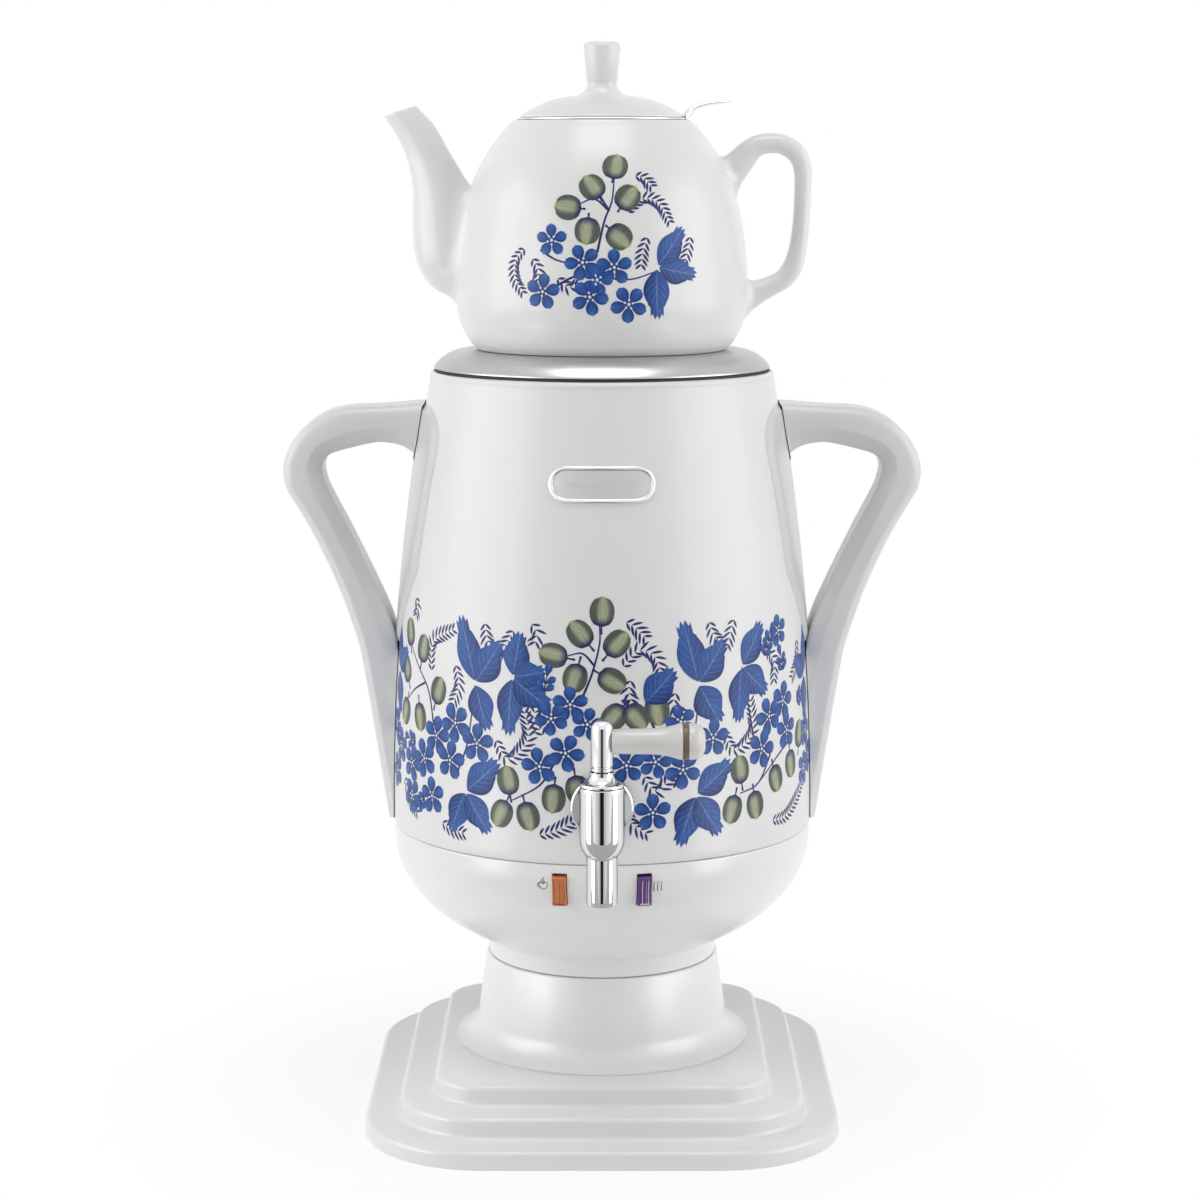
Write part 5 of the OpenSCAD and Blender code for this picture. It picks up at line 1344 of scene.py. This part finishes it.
def make_strainer_tab(z):
    """The thumb tab: a wedge at the flange that rises into a thin upswept leaf."""
    rows = smooth_run(TAB_STATIONS, 6) + (LID_R, z, 0, 0)
    ahead = unit(np.gradient(rows[:, :2], axis=0))
    turn = around(28)
    wide, thick = boxed(np.cos(turn), 0.5), boxed(np.sin(turn), 0.7)
    rings = [np.stack([x - dz * half * thick, side * wide, h + dx * half * thick], axis=1)
             for (x, h, half, side), (dx, dz) in zip(rows, ahead)]
    lofted("strainer_tab", "strainer", "strainer", STRAINER_STEEL, rings, crease=60)


def make_lid():
    """A domed lid with a flared knob above and a spigot below."""
    rim_z = LID_Z + 0.7
    neck_r, root_r, knob_r = 6.15, 11.7, 8.0
    neck_z = KNOB_ROOT_Z + 0.24 * KNOB_H
    spigot_r, spigot_z = 28.8, LID_Z - 9
    dome = arc((LID_R - 0.25, rim_z + 0.1), between((LID_R, rim_z), (root_r, KNOB_ROOT_Z), 0.3, 0.49),
               (root_r, KNOB_ROOT_Z), 20)
    root = arc((root_r - 0.8, KNOB_ROOT_Z + 0.2), (root_r - 0.78 * (root_r - neck_r), KNOB_ROOT_Z + 2.2),
               (neck_r, neck_z), 8)
    knob = rounded([(neck_r, neck_z + 0.1), (neck_r + 0.35, neck_z + 0.5), (knob_r, KNOB_TOP_Z, 1.9),
                    (0, KNOB_TOP_Z + 0.05)], 8)[1:]
    rim = [(LID_R - 0.35, LID_Z), (LID_R - 0.05, LID_Z + 0.2), (LID_R, rim_z - 0.2)]
    inside = [(0, KNOB_ROOT_Z - 3), (12, KNOB_ROOT_Z - 3.4), (spigot_r - 3, LID_Z + 1.4)]
    spigot = [(spigot_r - 3, spigot_z), (spigot_r, spigot_z), (spigot_r, LID_Z)]
    turned("lid_dome", "lid", "porcelain", PORCELAIN,
           rim + softened(dome + root, 2) + knob + inside + spigot, replaces=("lid",), crease=50)


make_warming_plate()
make_pot_body()
make_spout()
make_pot_handle()
make_strainer()
make_lid()

# ---- Rocker switches ----


def at_switch(side):
    """The rocker's pivot, with +X along the bowl, +Y into it and the rocker tipped at its top."""
    turn = side * math.radians(SWITCH_ANGLE)
    reach = BOWL_R - PIVOT_DEPTH
    return (Matrix.Translation((reach * math.sin(turn), -reach * math.cos(turn), SWITCH_Z))
            @ Matrix.Rotation(turn, 4, "Z") @ Matrix.Rotation(math.radians(ROCKER_TILT), 4, "X"))


def rocker_profile():
    h = ROCKER_H / 2
    return rounded([(ROCKER_FACE_Y, -h, 0.5), (ROCKER_FACE_Y + ROCKER_DISH, 0, 8), (ROCKER_FACE_Y, h, 0.5),
                    (-1.6, h, 0.8), (1.8, h / 3, 0.5), (1.8, -h / 3, 0.5), (-1.6, -h, 0.8)], 5)


def make_rocker(side, name, finish, line_finish, bars):
    """A rocker and its raised lines: a foot line and upright bars of (place, half width, top)."""
    key = "rocker_" + name
    half = ROCKER_W / 2
    profile = rocker_profile()
    ends = ((-half, 0.3), (-half + 0.1, 0.1), (-half + 0.35, 0),
            (half - 0.35, 0), (half - 0.1, 0.1), (half, 0.3))
    rings = [[(x, y + shrink * np.sign(-y - 3), z * (1 - shrink / 8)) for y, z in profile]
             for x, shrink in ends]
    lofted("rocker_key_" + name, key, key, finish, placed(rings, at_switch(side)), replaces=(key,), crease=30)
    bottom = 0.36 - ROCKER_H / 2
    strips = [(x - w, bottom + 0.7, x + w, top) for x, w, top in bars]
    strips.append((-2.1, bottom + 0.2, 2.1, bottom + 0.75))
    rows = 10
    shell = quads(rows, 4, False, True) + [range(4), range(4 * rows - 4, 4 * rows)]
    points, faces = [], []
    for x0, z0, x1, z1 in strips:
        faces += [tuple(len(points) + i for i in f) for f in shell]
        for z in np.linspace(z0, z1, rows):
            y = ROCKER_FACE_Y + ROCKER_DISH * (1 - abs(z) / (ROCKER_H / 2))
            points += [(x0, y + 0.05, z), (x0 + 0.05, y - 0.1, z), (x1 - 0.05, y - 0.1, z), (x1, y + 0.05, z)]
    piece("rocker_lines_" + name, key, key, line_finish, placed(points, at_switch(side)), faces)


make_rocker(-1, "left", ROCKER_ORANGE, ROCKER_SHADE,
            ((-2.2, 0.16, 5.4), (0.35, 0.12, 4.6), (2.25, 0.1, 5.2)))
make_rocker(1, "right", ROCKER_VIOLET, ROCKER_LINE,
            ((-1.1, 0.2, 4.8), (1.45, 0.22, 4.8), (0.5, 0.09, 4.2)))

# ---- Flower print and switch marks ----


class Skin:
    """The outside of a turned wall, unrolled: u runs round it from the front, v up along its surface."""

    def __init__(self, line, start_z, turn):
        self.line = np.array(line, float)
        run = run_along(self.line)
        self.run = run - np.interp(start_z, self.line[:, 1], run)
        self.turn = turn

    def place(self, flat, lift):
        """Flat points laid round the wall, lifted off it."""
        u, v = flat[..., 0], flat[..., 1]
        radius, z = (np.interp(v, self.run, self.line[:, k]) for k in (0, 1))
        lean = np.interp(v + 1, self.run, self.line[:, 0]) - np.interp(v - 1, self.run, self.line[:, 0])
        turn = u / radius + self.turn
        out = radius + lift * np.sqrt(np.maximum(1 - (lean / 2) ** 2, 0))
        return np.stack([out * np.sin(turn), -out * np.cos(turn), z - lift * lean / 2], axis=-1)


INK_FOOT = 0.004
INK_STEP = 0.0015
INK_STEPS = 16


class Ink:
    """One colour of the print on one wall: closed patches, each a grid with s along it and t across it."""

    def __init__(self, lift):
        self.points, self.faces, self.chart = [], [], []
        self.lift = lift
        self.count = 0

    def patch(self, skin, flat):
        """Add a patch of rows by columns of flat points; later patches lie a hair above earlier ones."""
        rows, columns = flat.shape[:2]
        lift = self.lift + INK_STEP * (self.count % INK_STEPS)
        self.count += 1
        start = len(self.points)
        for height in (lift, INK_FOOT):
            self.points += skin.place(flat, height).reshape(-1, 3).tolist()
        t, s = np.meshgrid(np.linspace(0, 1, columns), np.linspace(0, 1, rows))
        self.chart += 2 * np.stack([s, t], axis=-1).reshape(-1, 2).tolist()
        self.faces += [tuple(start + i for i in f) for f in slab(rows, columns)]

    def finish(self, name, body, slot, finish):
        """The piece itself; its points aren't welded, so that each keeps its place in the chart."""
        made = piece(name, body, slot, finish, self.points, self.faces, weld=False)
        layer = made.data.uv_layers.new(name=PRINT_MAP)
        corners = np.empty(len(made.data.loops), dtype=np.int32)
        made.data.loops.foreach_get("vertex_index", corners)
        layer.data.foreach_set("uv", np.array(self.chart)[corners].ravel())
        return made


def blade(base, angle, length, width, shape, rows, columns=5, bend=0.0):
    """Flat points of a petal, leaf or stroke that grows from base; shape gives its half width along s."""
    s, t = np.meshgrid(np.linspace(0, 1, rows), np.linspace(-1, 1, columns), indexing="ij")
    half = shape(s) * width / 2
    along = s * length
    across = t * half + bend * length * s ** 2
    return base + along[..., None] * heading(angle) + across[..., None] * heading(angle + 90)


def petal_shape(s):
    round_end = np.sqrt(np.clip(1 - ((s - 0.62) / 0.38) ** 2, 0, 1))
    return np.where(s > 0.62, round_end, 0.16 + 0.84 * smoothstep(s / 0.62))


def oval_shape(s):
    return np.sqrt(np.clip(1 - (2 * s - 1) ** 2, 0, 1)) ** 0.9


def stroke_shape(s):
    return 0.15 + np.sin(math.pi * np.clip(s, 0, 1)) ** 0.7


def leaf_shape(s):
    """A broad leaf, still wide at its torn tip."""
    body = np.sin(math.pi * np.clip(s, 0, 1) ** 0.95) ** 0.85
    return np.maximum(body, 0.5 * smoothstep((s - 0.5) / 0.3))


def torn(flat, angle, depth):
    """The same patch with teeth along the last stretch of its sides and its tip."""
    rows, columns = flat.shape[:2]
    row, column = np.meshgrid(np.arange(rows), np.arange(columns), indexing="ij")
    near_tip = smoothstep((row / (rows - 1) - 0.5) / 0.5)
    to_side = np.abs(column / (columns - 1) - 0.5) * 2
    side_tooth, tip_tooth = np.where(row % 3 == 0, 0.9, -0.3), np.where(column % 2 == 0, 1.0, -0.7)
    tooth = np.where(to_side > 0.99, side_tooth, tip_tooth)
    dome = 1.3 * (1 - to_side ** 2)
    return flat + (depth * near_tip ** 2 * (tooth + dome))[..., None] * heading(angle)


class Spray:
    """Draws motifs on a skin, in millimetres round it and up it."""

    def __init__(self, skin, inks):
        self.skin, self.inks = skin, inks

    def lay(self, ink, flat):
        self.inks[ink].patch(self.skin, flat)

    def flower(self, x, y, radius, turn):
        """Five petals round a pale heart."""
        for k in range(5):
            self.lay("petal", blade((x, y), turn + 72 * k, 1.04 * radius, 0.68 * radius, petal_shape, 9))
        for k in range(5):
            angle = turn + 36 + 72 * k
            self.lay("heart", blade((x, y) + 1.1 * heading(angle), angle, 1.3, 0.9, oval_shape, 5, 3))
        self.lay("heart", blade((x - 0.7, y), 0, 1.4, 1.4, oval_shape, 5, 3))

    def leaves(self, x, y, *blades):
        """Leaves that grow from one place; each is (angle, length, width)."""
        for angle, length, width in blades:
            flat = blade((x, y) + heading(angle), angle, 0.9 * length, width, leaf_shape, 16, 7, 0.05)
            self.lay("leaf", torn(flat, angle, 0.056 * length))

    def olive(self, x, y, angle, length, width=10.2, stalk=3.0):
        """A round leaf about (x, y) on a stalk behind it, over a pale edge that shows past its tip."""
        way = heading(angle)
        foot = (x, y) - way * length / 2
        self.stem([foot - way * stalk, foot + way])
        self.lay("halo", blade(foot + 0.5 * way, angle, length, width, oval_shape, 11, 7))
        self.lay("olive", blade(foot, angle, length, width, oval_shape, 13, 7))

    def stem(self, points, width=0.9):
        """One tapering stroke along a curve."""
        rows = smooth_run(points, 5 if len(points) > 2 else 2)
        ahead = unit(np.gradient(rows, axis=0))
        side = np.stack([-ahead[:, 1], ahead[:, 0]], axis=1)
        taper = np.linspace(1.15, 0.6, len(rows))[:, None] * width / 2
        self.lay("stroke", np.stack([rows - side * taper, rows + side * taper], axis=1))

    def fern(self, points, blade_length=5.2, gap=2.4):
        """Paired strokes along a curve, longest in the middle, with no spine drawn."""
        rows = smooth_run(points, 12)
        run = run_along(rows)
        count = max(3, round(run[-1] / gap))
        for share in (np.arange(count) + 0.5) / count:
            spot, ahead = (np.array([np.interp(run[-1] * share + step, run, rows[:, k]) for k in (0, 1)])
                           for step in (0, 1))
            dx, dy = ahead - spot
            angle = math.degrees(math.atan2(dy, dx))
            size = blade_length * (0.6 + 0.4 * math.sin(math.pi * share))
            for side in (-1, 1):
                bend = -0.12 * side
                self.lay("stroke", blade(spot, angle + 52 * side, size, 0.95, stroke_shape, 6, 3, bend))

    def buds(self, x, y, angle, count):
        """Small petals up both sides of a short stalk."""
        way = 3.2 * heading(angle)
        tip = (x, y) + count * way
        self.stem([(x, y), tip], 0.7)
        for k in range(count):
            for side in (-1, 1):
                self.lay("petal", blade((x, y) + k * way, angle + 46 * side, 5.2, 3.0, petal_shape, 6))
        self.lay("petal", blade(tip, angle, 5.6, 3.4, petal_shape, 6))


def lay_band(spray):
    """The band on one side of the casing, from one handle round to the other."""
    for stem in (
            ((-81, 44), (-85, 58), (-94, 67), (-103, 76)), ((-88, 61), (-97, 57), (-104, 52)),
            ((-8, 62), (-4, 72), (-1, 84), (-1, 92)), ((-3, 75), (-8, 80), (-14, 79)),
            ((-20, 34), (-26, 25), (-38, 18)), ((81, 32), (73, 21), (62, 18)), ((98, 36), (86, 30), (73, 21)),
            ((22, 48), (18, 57), (19, 62)), ((10, 63), (9, 58)), ((-66, 26), (-60, 40), (-56, 64)),
            ((30, 24), (38, 42), (42, 64)), ((70, 40), (66, 58), (63, 71))):
        spray.stem(stem)
    for x, y, angle in (
            (-104, 80, 105), (-90, 75, 75), (-107, 64, 120), (-78, 59, 70), (-107, 46, -110), (-92, 46, -80),
            (0, 97, 88), (-9, 88, 130), (6, 84, 50), (-20, 79, 170), (-11, 70, -105), (4, 69, -30),
            (5, 54, -130), (14, 54, -50), (23, 56, -80), (-40, 26, 100), (-43, 12, -115), (-31, 12, -75),
            (-20, 20, -95), (-10, 24, -80), (62, 28, 100), (58, 12, -105), (71, 12, -80), (85, 21, -70),
            (98, 25, -80), (108, 36, 80)):
        spray.olive(x, y, angle, 12.4)
    spray.leaves(-56, 65, (104, 27, 13), (52, 21, 14), (-74, 19, 13))
    spray.leaves(-38, 69, (76, 18, 12), (10, 14, 11), (-97, 23, 12), (-38, 19, 13.5))
    spray.leaves(-61, 19, (38, 21, 13.5), (-119, 19, 12), (-56, 19, 12.5))
    spray.leaves(17, 59, (43, 18, 13.5))
    spray.leaves(40, 20, (33, 20, 13), (-113, 21, 12.5), (-60, 20, 13))
    spray.leaves(41, 66, (103, 26, 13), (51, 20, 14), (-61, 19, 14))
    spray.leaves(63, 71, (51, 20, 13), (-42, 19, 13), (-98, 22, 12))
    spray.leaves(-120, 62, (96, 21, 12), (34, 16, 11), (-80, 18, 12))
    spray.leaves(119, 60, (80, 21, 12), (148, 17, 11), (-98, 18, 12))
    for fern in (
            ((-83, 66), (-82, 79), (-68, 86)), ((-67, 72), (-65, 63), (-69, 54)),
            ((-51, 91), (-50, 84), (-48, 80)), ((-37, 89), (-41, 82), (-45, 78)),
            ((-46, 43), (-40, 35), (-31, 44), (-33, 58)), ((-24, 45), (-28, 53), (-26, 61)),
            ((8, 74), (15, 81), (22, 78), (25, 68)), ((9, 93), (13, 91), (18, 86)),
            ((12, 70), (11, 65), (12, 60)), ((46, 92), (48, 86), (53, 80)), ((59, 92), (57, 86), (55, 80)),
            ((53, 46), (59, 37), (69, 43), (68, 57)), ((17, 30), (22, 23), (29, 28)),
            ((-27, 4), (-18, 7), (-10, 12)), ((9, 18), (12, 10), (19, 5)), ((82, 3), (95, 4), (112, 14)),
            ((108, 77), (107, 68), (100, 61)), ((31, 64), (30, 58), (34, 53)),
            ((-108, 18), (-102, 9), (-94, 4)), ((-76, 4), (-70, 2), (-62, 1)),
            ((76, 78), (84, 71), (84, 62)), ((-30, 92), (-27, 88), (-28, 83)),
            ((-99, 96), (-97, 92), (-98, 88))):
        spray.fern(fern)
    for x, y, angle, count in (
            (-24, 64, 78, 2), (77, 74, 60, 3), (92, 66, 110, 2), (-96, 34, 170, 2), (5, 30, 200, 2),
            (-88, 12, 215, 2), (106, 50, 30, 2)):
        spray.buds(x, y, angle, count)
    for x, y, radius, turn in (
            (-13, 59, 7.4, 20), (-21, 53, 7.0, 50), (-6, 51, 6.8, 5), (-26, 33, 7.8, 30), (-15, 39, 7.8, 65),
            (-55, 40, 8.2, 15), (-67, 47, 8.4, 48), (-79, 40, 8.4, 80), (-70, 31, 8.2, 10),
            (-88, 29, 8.4, 40), (-99, 25, 8.0, 0), (-82, 14, 8.0, 25), (-99, 11, 7.6, 55), (21, 14, 7.8, 18),
            (34, 31, 8.0, 50), (48, 43, 7.8, 12), (33, 51, 6.8, 35), (91, 53, 8.2, 5), (80, 48, 8.2, 40),
            (75, 35, 8.2, 70), (94, 40, 8.0, 20), (22, 35, 7.0, 0), (10, 34, 7.6, 25), (88, 83, 6.8, 30),
            (-113, 30, 7.6, 20), (-122, 38, 7.4, 60), (-120, 18, 7.6, 40), (118, 36, 7.8, 10),
            (124, 24, 7.6, 45), (114, 20, 7.4, 0)):
        spray.flower(x, y, radius, turn)


def lay_pot_spray(spray):
    """The spray on the teapot: flowers below, an olive sprig above, leaves to the right."""
    for stem in (
            ((-2, 29), (1, 42), (4, 50), (5, 60)), ((3, 46), (-3, 51), (-9, 49)),
            ((3, 46), (0, 51), (-1, 54)), ((-20, 15), (-8, 20), (10, 18), (22, 21)),
            ((-26, 30), (-19, 26), (-10, 24))):
        spray.stem(stem)
    for x, y, angle in (
            (5.4, 65, 80), (-4, 56, 125), (10.5, 51.5, 55), (-14, 47.5, 175), (-6, 38, -95), (7, 35.5, -40)):
        spray.olive(x, y, angle, 11.4, 10.6, 1.6)
    for fern in (
            ((13, 61), (17, 60), (21, 56)), ((10, 45), (17, 51), (24, 49), (29, 41)),
            ((19, 36), (17, 30), (16, 23)), ((39, 36), (38, 31), (36, 25)),
            ((-33, 31), (-38, 25), (-38, 18), (-34, 12)), ((-30, 27), (-27, 22), (-27, 17)),
            ((-19, 19), (-14, 15), (-10, 16))):
        spray.fern(fern, 4.4, 2.1)
    spray.leaves(23, 23, (50, 19, 11), (-13, 18, 11), (-92, 20, 11.5))
    for x, y, radius, turn in (
            (-21, 34, 6.6, 20), (-25, 13, 7.4, 10), (-8, 25, 7.4, 40), (-2, 18, 6.4, 0), (-5, 11, 7.6, 65),
            (5, 23, 7.4, 20), (11, 8, 7.6, 50)):
        spray.flower(x, y, radius, turn)


PRINT_FOOT_Z = CASING_Z + 7.5
POT_SPRAY_Z = POT_Z + 14


def make_prints():
    """The print on the casing and on the teapot; it runs round again behind."""
    casing_line = wall_line(casing_radius, CASING_Z, CASING_TOP_Z, 80)
    walls = (("casing", "base", "casing", casing_line, PRINT_FOOT_Z, lay_band),
             ("pot", "teapot", "porcelain", POT_LINE, POT_SPRAY_Z, lay_pot_spray))
    for name, body, slot, line, start_z, lay_motifs in walls:
        inks = {key: Ink(lift) for key, (lift, _) in PRINT_LAYERS.items()}
        for turn in (0, math.pi):
            lay_motifs(Spray(Skin(line, start_z, turn), inks))
        for key, (_, finish) in PRINT_LAYERS.items():
            inks[key].finish(f"print_{key}_{name}", body, slot, finish)


def make_switch_marks():
    """Thin grey marks beside the switches: a steaming cup and three bars."""
    bowl_line = wall_line(bowl_radius, SWITCH_Z - 20, BOWL_WIDE_Z, 60)
    cup = [[(-1.9, 0.4), (-1.8, -1.2), (-0.9, -2.4), (0.5, -2.5), (1.5, -1.4), (1.7, 0.4)],
           [(-1.9, -0.3), (-2.6, -0.5), (-2.4, -1.6), (-1.5, -1.9)], [(-1.9, 0.4), (1.7, 0.4)],
           [(-0.1, -0.3), (0.4, 0.6), (-0.3, 1.6), (0.2, 2.7)], [(-0.2, -0.4), (-0.9, 0.9), (-0.3, 1.9)]]
    bars = [[(x, -2.1), (x - 0.15, 0), (x + 0.1, 2.1)] for x in (-1.6, 0, 1.6)]
    for name, angle, lift, strokes in (("cup", -15.4, 2.5, cup), ("bars", 14.7, 1.3, bars)):
        inks = {"stroke": Ink(0.04)}
        spray = Spray(Skin(bowl_line, SWITCH_Z + lift, math.radians(angle)), inks)
        for stroke in strokes:
            spray.stem(stroke, 0.42)
        inks["stroke"].finish("mark_" + name, "base", "bowl", MARK_GREY)


make_prints()
make_switch_marks()

# ---- Stage ----


def stage_material():
    """A pale floor that keeps the shadow near the object and turns to plain white further off."""
    made = Finish("pale_floor", srgb(250, 250, 250), 0.7)
    reach = made.node("ShaderNodeVectorMath", {"operation": "LENGTH"}, (made.position(),), "Value")
    glow = made.node("ShaderNodeEmission", inputs={"Color": (1, 1, 1, 1), "Strength": 1.0})
    fade = reach.step(0.06, 0.24) * 0.2 + 0.8
    share = made.meets_backdrop() * fade
    ground = Value(made, made.shader.outputs[0])
    made.finish_with("Material Output", made.node("ShaderNodeMixShader", inputs=(share, ground, glow)))
    return made.material


def staged_sheet(name, corners, material, shown=True):
    """A four-cornered sheet of the stage; if it isn't shown, only mirrors see it and it casts no shade."""
    mesh = bpy.data.meshes.new(name)
    mesh.from_pydata(corners, [], [(0, 1, 2, 3)])
    mesh.materials.append(material)
    sheet = bpy.data.objects.new(name, mesh)
    bpy.context.collection.objects.link(sheet)
    sheet.visible_camera = shown
    sheet.visible_diffuse = shown
    sheet.visible_shadow = shown


def level(half, near, far, z):
    """Corners of a level sheet."""
    return [(-half, near, z), (half, near, z), (half, far, z), (-half, far, z)]


def upright(start, end, low, high):
    """Corners of an upright sheet over a line on the table."""
    return [(*start, low), (*end, low), (*end, high), (*start, high)]


def mirrored_card(name, corners, glow):
    """A card near the samovar that shows only in its gloss."""
    made = Finish(name, (0.002, 0.002, 0.002, 1), 1.0, Emission_Color=(glow, glow, glow, 1),
                  Emission_Strength=1.0)
    staged_sheet(name, corners, made.material, shown=False)


def make_cards():
    """A dark stripe between greys in front of the tap, and a grey table under it, all seen in its chrome."""
    y, low, high = -0.40, 0.042, 0.24
    strips = ((-0.17, 0.68), (-0.085, 0.38), (-0.046, 0.0), (0.046, 0.58), (0.11, 0.78), (0.2, None))
    for k, ((left, glow), (right, _)) in enumerate(zip(strips, strips[1:]), 1):
        mirrored_card(f"front_card_{k}", upright((left, y), (right, y), low, high), glow)
    mirrored_card("table_card", level(0.6, -0.56, -0.12, 0.002), 0.42)
    for name, side in SIDES:
        ends = [(side * 0.48 * math.sin(turn), -0.48 * math.cos(turn)) for turn in (0.82, 1.16)]
        mirrored_card("low_card_" + name, upright(*ends, 0.012, 0.1), 5.0)


LAMP_AIM = np.array([0, 0, 0.22])

# Lamps: azimuth in degrees (0 in front, positive to the right), height, distance, width, tallness, power
SOFTBOXES = {
    "left_wall": (-78, 0.45, 1.4, 0.9, 1.6, 10.2),
    "right_wall": (78, 0.45, 1.4, 0.9, 1.6, 10.2),
    "left_strip": (-52, 0.35, 1.3, 0.16, 1.1, 2.6),
    "right_strip": (52, 0.35, 1.3, 0.16, 1.1, 2.0),
    "top_panel": (0, 1.5, 0.3, 0.8, 0.6, 5.4)}


def softbox(name, azimuth, height, distance, width, tall, power):
    """A large rectangular lamp, aimed at the samovar."""
    lamp = bpy.data.lights.new(name, "AREA")
    lamp.shape = "RECTANGLE"
    lamp.size, lamp.size_y = width, tall
    lamp.energy = power
    thing = bpy.data.objects.new(name, lamp)
    turn = math.radians(azimuth)
    place = np.array([distance * math.sin(turn), -distance * math.cos(turn), height])
    thing.location = place
    away = place - LAMP_AIM
    flat = math.hypot(away[0], away[1])
    thing.rotation_euler = (math.atan2(flat, away[2]), 0, math.atan2(away[0], -away[1]))
    bpy.context.collection.objects.link(thing)


ROOM_LIGHT = 0.175


def light_world():
    """A soft even room; where it shows or is mirrored it is plain white."""
    world = bpy.data.worlds.new("white_room")
    bpy.context.scene.world = world
    world.use_nodes = True
    room = Nodes(world.node_tree)
    light, backdrop = (room.node("ShaderNodeBackground", inputs={"Color": (1, 1, 1, 1), "Strength": strength})
                       for strength in (ROOM_LIGHT, 1.0))
    mixed = room.node("ShaderNodeMixShader", inputs=(room.meets_backdrop(), light, backdrop))
    room.finish_with("World Output", mixed)


staged_sheet("pale_table", level(6.0, -6.0, 6.0, 0), stage_material())
make_cards()
for lamp_name, values in SOFTBOXES.items():
    softbox(lamp_name, *values)
light_world()
bpy.context.scene.view_settings.view_transform = "Standard"
